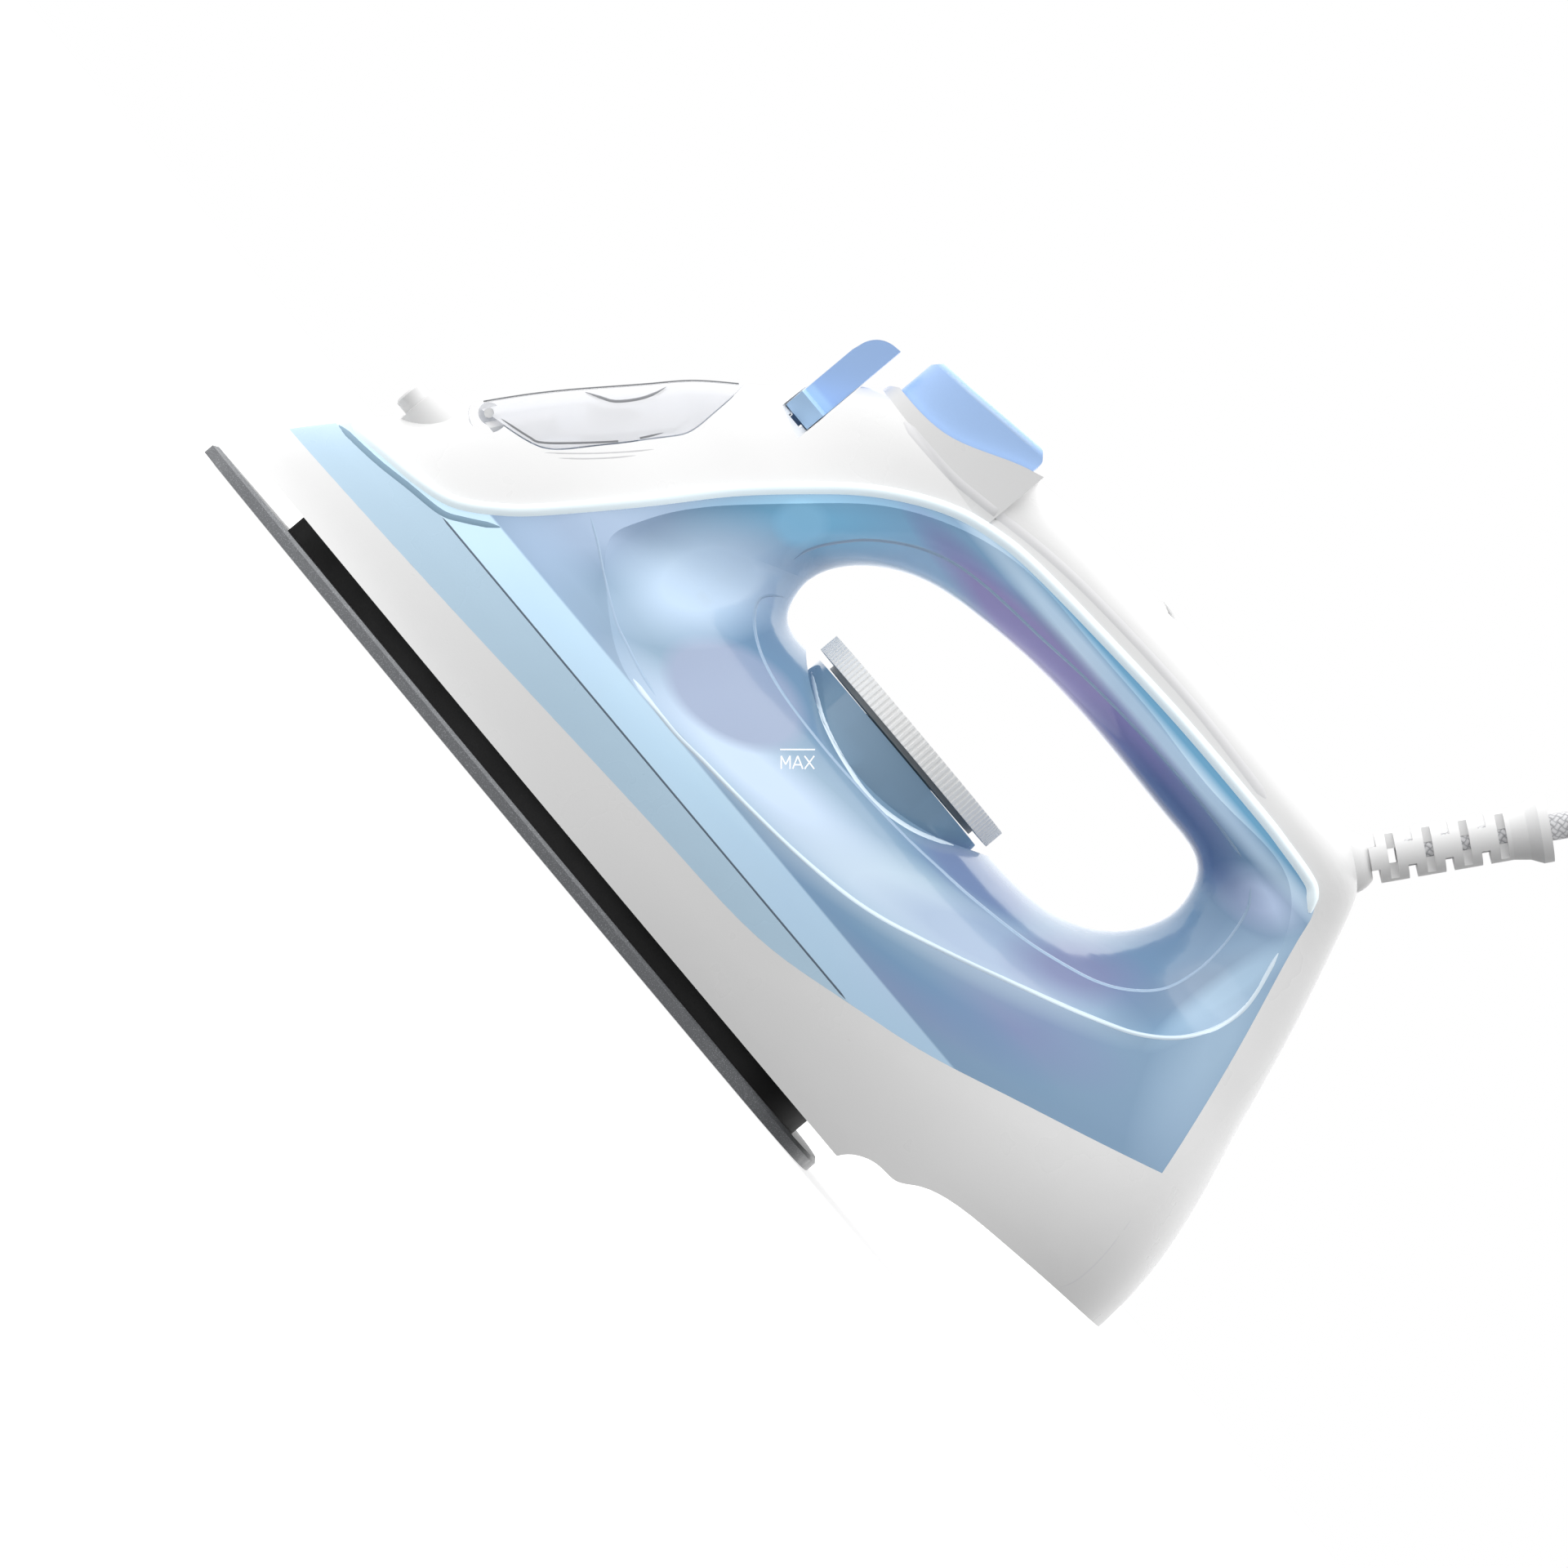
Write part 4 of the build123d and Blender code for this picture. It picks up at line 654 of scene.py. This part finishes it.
# Edges that show in the tank's wall, drawn as painted highlights: paler lines round the opening,
# glints round the dial's well and along the shoulder.
RIM_LINE = raised([
    (-32, 83), (-35, 80), (-35.5, 77), (-32, 73), (-25, 69.5), (-15, 67.5), (0, 66.7),
    (15, 67), (30, 68), (40, 69.2), (50, 70.5), (65, 73.5), (75, 76.5), (85, 80.5),
    (92, 85.5), (97, 92), (98.8, 100), (98.5, 108), (97, 115), (95, 120), (92, 123),
])
TOP_LINE = [
    (-37.6, 91.4), (-37.4, 94.6), (-35.9, 98.6), (-33.1, 103.4), (-29.9, 107.8),
    (-25, 112.6), (-19.4, 116.7), (-12.7, 119.9), (-4.7, 122), (4.9, 123.4), (14, 124.4),
    (30, 126.5), (50, 128), (70, 128.2), (85, 127.4),
]
ribbon("opening_edges", [RIM_LINE, TOP_LINE], 0.7, 0.18, EDGE_HIGHLIGHT_LOOK)
WELL_LINE = [
    (-15.3, 77.8), (-12.2, 76.1), (-8.5, 74.2), (-4, 72.2), (1.7, 70.6), (7.1, 69.6), (14.4, 68.8),
    (20.3, 69.1), (27, 70.7), (32.6, 73), (38.8, 76.7),
]
SHOULDER_LINE = raised([
    (-40, 42.6), (-25, 42), (-15, 42.8), (0, 44), (15, 45.6), (30, 48.2), (40, 51), (50, 55),
    (60, 59.3), (70, 64), (80, 68.8), (90, 73.8), (100, 79.5), (107, 86), (111, 93),
    (112.7, 100), (112, 107), (108, 118),
])
ribbon("wall_glints", [WELL_LINE, SHOULDER_LINE], 1.1, 0.2, GLINT_LOOK)
# Painted highlight: a paler line along the front of the shoulder's edge.
FRONT_LINE = [
    (-76.4, 60.9), (-70.6, 58.3), (-64.5, 55), (-58.3, 51.9), (-52.4, 49.3), (-47.3, 48),
    (-39.9, 46.3), (-33.6, 45.4),
]
ribbon("front_edge", [FRONT_LINE], 0.7, 0.1, EDGE_HIGHLIGHT_LOOK)

# Filler door: its gap, a dark joint, and painted shade along the finger notch, the crest and the
# step below it.
DOOR_TREE = surface_of("filler_door")
DOOR_LINE = [
    (-108.4, 59.5), (-100.5, 61.8), (-97.2, 63.5), (-90.6, 71.3), (-84.6, 79.4), (-80.6, 87),
]
ribbon("door_edge", [DOOR_LINE], 0.6, 0.08, DOOR_GAP_AND_SHADE_LOOK, body="door", tree=DOOR_TREE)
# Painted shade: a grey line along the finger notch's recess.
NOTCH_LINE = [(-100.5, 79), (-97, 81), (-94, 83), (-91, 87.4), (-89.5, 91.2), (-89, 94.6)]
ribbon("door_notch", [NOTCH_LINE], 0.8, 0.12, DOOR_GAP_AND_SHADE_LOOK, body="door", tree=DOOR_TREE)
CREST_START = -0.1175  # x of the door's end at the nose
CREST_STEP = 0.001
CREST_STEPS = 40
ABOVE = 0.2  # z of a place above the iron
CREST_FLOOR = 0.05  # lower than this there is no crest
CREST_RADIUS = 0.0003
CREST = []
for index in range(CREST_STEPS):
    start = Vector((CREST_START + CREST_STEP * index, 0, ABOVE))
    place = DOOR_TREE.ray_cast(start, Vector((0, 0, -1)))[0]
    if place is not None and place.z > CREST_FLOOR:
        CREST.append(place)
# Painted shade: a thin grey tube darkens the door's crest.
crest = tube_along("door_crest", CREST, CREST_RADIUS, sides=8)
crest.data.materials.append(DOOR_GAP_AND_SHADE_LOOK)
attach(crest, "door")
# Painted shade: pale grey lines along the step below the door.
STEP_LINES = [
    [(-95.5, 61.8), (-91.5, 66.2), (-87, 71.6), (-82.6, 77.4), (-78.6, 83.2)],
    [(-92.4, 63.4), (-87.8, 68.6), (-83.6, 74), (-80.2, 79)],
]
ribbon("door_step", STEP_LINES, 0.5, 0.05, DOOR_STEP_SHADE_LOOK)

# Painted highlight: lighter bands along the bevels of the thumb buttons.
BEVEL_LINE = [(-50.6, 147.6), (-46, 148.6), (-42, 149.0), (-30, 150.8), (-20.4, 152.3)]
for body, side in (("spray", -1), ("boost", 1)):
    ribbon(f"{body}_bevel", [BEVEL_LINE], 1.3, 0.05, BEVEL_HIGHLIGHT_LOOK, body=body,
           tree=surface_of(f"{body}_button"), sides=(side,))

# Water level mark: a line with three letters under it, on the near side only. The strokes are in
# mm to the right of and above the line's end, as the mark stands in the picture.
LEVEL_X, LEVEL_Z = -5.1, 59.7
LEVEL_STROKES = [
    [(0, 0), (8.3, 0)],
    [(0.3, -4.6), (0.3, -1.5)], [(0.3, -1.5), (1.35, -3.6)],
    [(1.35, -3.6), (2.4, -1.5)], [(2.4, -1.5), (2.4, -4.6)],
    [(3.0, -4.6), (4.2, -1.5)], [(4.2, -1.5), (5.4, -4.6)], [(3.5, -3.6), (4.9, -3.6)],
    [(5.8, -4.6), (8.1, -1.5)], [(5.8, -1.5), (8.1, -4.6)],
]
LEVEL_MARK = [
    [(LEVEL_X + u * RIGHT.x + v * UP.x, LEVEL_Z + u * RIGHT.z + v * UP.z) for u, v in stroke]
    for stroke in LEVEL_STROKES
]
ribbon("level_mark", LEVEL_MARK, 0.45, 0.06, PRINT_LOOK, step=0.5, sides=(-1,), tapered=False)

# ---- floor, light and background ------------------------------------------------------------
PURE_WHITE = (1, 1, 1, 1)
FLOOR_GLOW = 0.78
FLOOR_RADIUS = 6
FLOOR_HEIGHT = -0.0002  # just under the soleplate
FLOOR_LOOK = Shader("floor_white", srgb(200, 200, 200), 0.9)
FLOOR_LOOK.vary_roughness(0.85, 0.95, 3.0)
FLOOR_LOOK.shader.inputs["Emission Color"].default_value = PURE_WHITE
FLOOR_LOOK.shader.inputs["Emission Strength"].default_value = FLOOR_GLOW
bpy.ops.mesh.primitive_circle_add(
    vertices=96, radius=FLOOR_RADIUS, fill_type="NGON", location=(0, 0, FLOOR_HEIGHT)
)
floor = bpy.context.object
floor.name = "floor"
floor.data.materials.append(FLOOR_LOOK.material)
floor.visible_diffuse = False  # the floor's glow doesn't light the iron
floor.visible_glossy = False

LIGHT_MEAN = 0.92  # brightness of the surroundings level with the iron
LIGHT_RISE = 1.02  # how much brighter they get towards the light, and darker away from it
LIGHT_LEAST = 0.06
LIGHT_FROM = Vector((-0.45, 0.34, 0.82))

world = bpy.data.worlds.new("studio")
bpy.context.scene.world = world
world.use_nodes = True
tree = world.node_tree
background = tree.nodes["Background"]
direction = tree.nodes.new("ShaderNodeTexCoord").outputs["Generated"]
facing = tree.nodes.new("ShaderNodeVectorMath")
facing.operation = "DOT_PRODUCT"
facing.inputs[1].default_value = LIGHT_FROM.normalized()
tree.links.new(direction, facing.inputs[0])
glow = tree.nodes.new("ShaderNodeMath")
glow.operation = "MULTIPLY_ADD"
glow.inputs[1].default_value = LIGHT_RISE
glow.inputs[2].default_value = LIGHT_MEAN
tree.links.new(facing.outputs["Value"], glow.inputs[0])
least = tree.nodes.new("ShaderNodeMath")
least.operation = "MAXIMUM"
least.inputs[1].default_value = LIGHT_LEAST
tree.links.new(glow.outputs[0], least.inputs[0])
tree.links.new(least.outputs[0], background.inputs["Strength"])
backdrop = tree.nodes.new("ShaderNodeBackground")
seen = tree.nodes.new("ShaderNodeMixShader")
tree.links.new(tree.nodes.new("ShaderNodeLightPath").outputs["Is Camera Ray"], seen.inputs[0])
tree.links.new(background.outputs[0], seen.inputs[1])
tree.links.new(backdrop.outputs[0], seen.inputs[2])
tree.links.new(seen.outputs[0], tree.nodes["World Output"].inputs["Surface"])
background.inputs["Color"].default_value = PURE_WHITE
backdrop.inputs["Color"].default_value = PURE_WHITE

KEY_PLACE = Vector((-0.9, -0.7, 1.0))
KEY_AIM = Vector((0, 0, 0.07))
KEY_SIZE = 0.8
KEY_POWER = 1.0

light_data = bpy.data.lights.new("key_light", "AREA")
light_data.shape = "DISK"
light_data.size = KEY_SIZE
light_data.energy = KEY_POWER
light = bpy.data.objects.new("key_light", light_data)
light.location = KEY_PLACE
light.rotation_euler = (KEY_AIM - KEY_PLACE).to_track_quat("-Z", "Y").to_euler()
bpy.context.scene.collection.objects.link(light)
bpy.context.scene.view_settings.view_transform = "Standard"
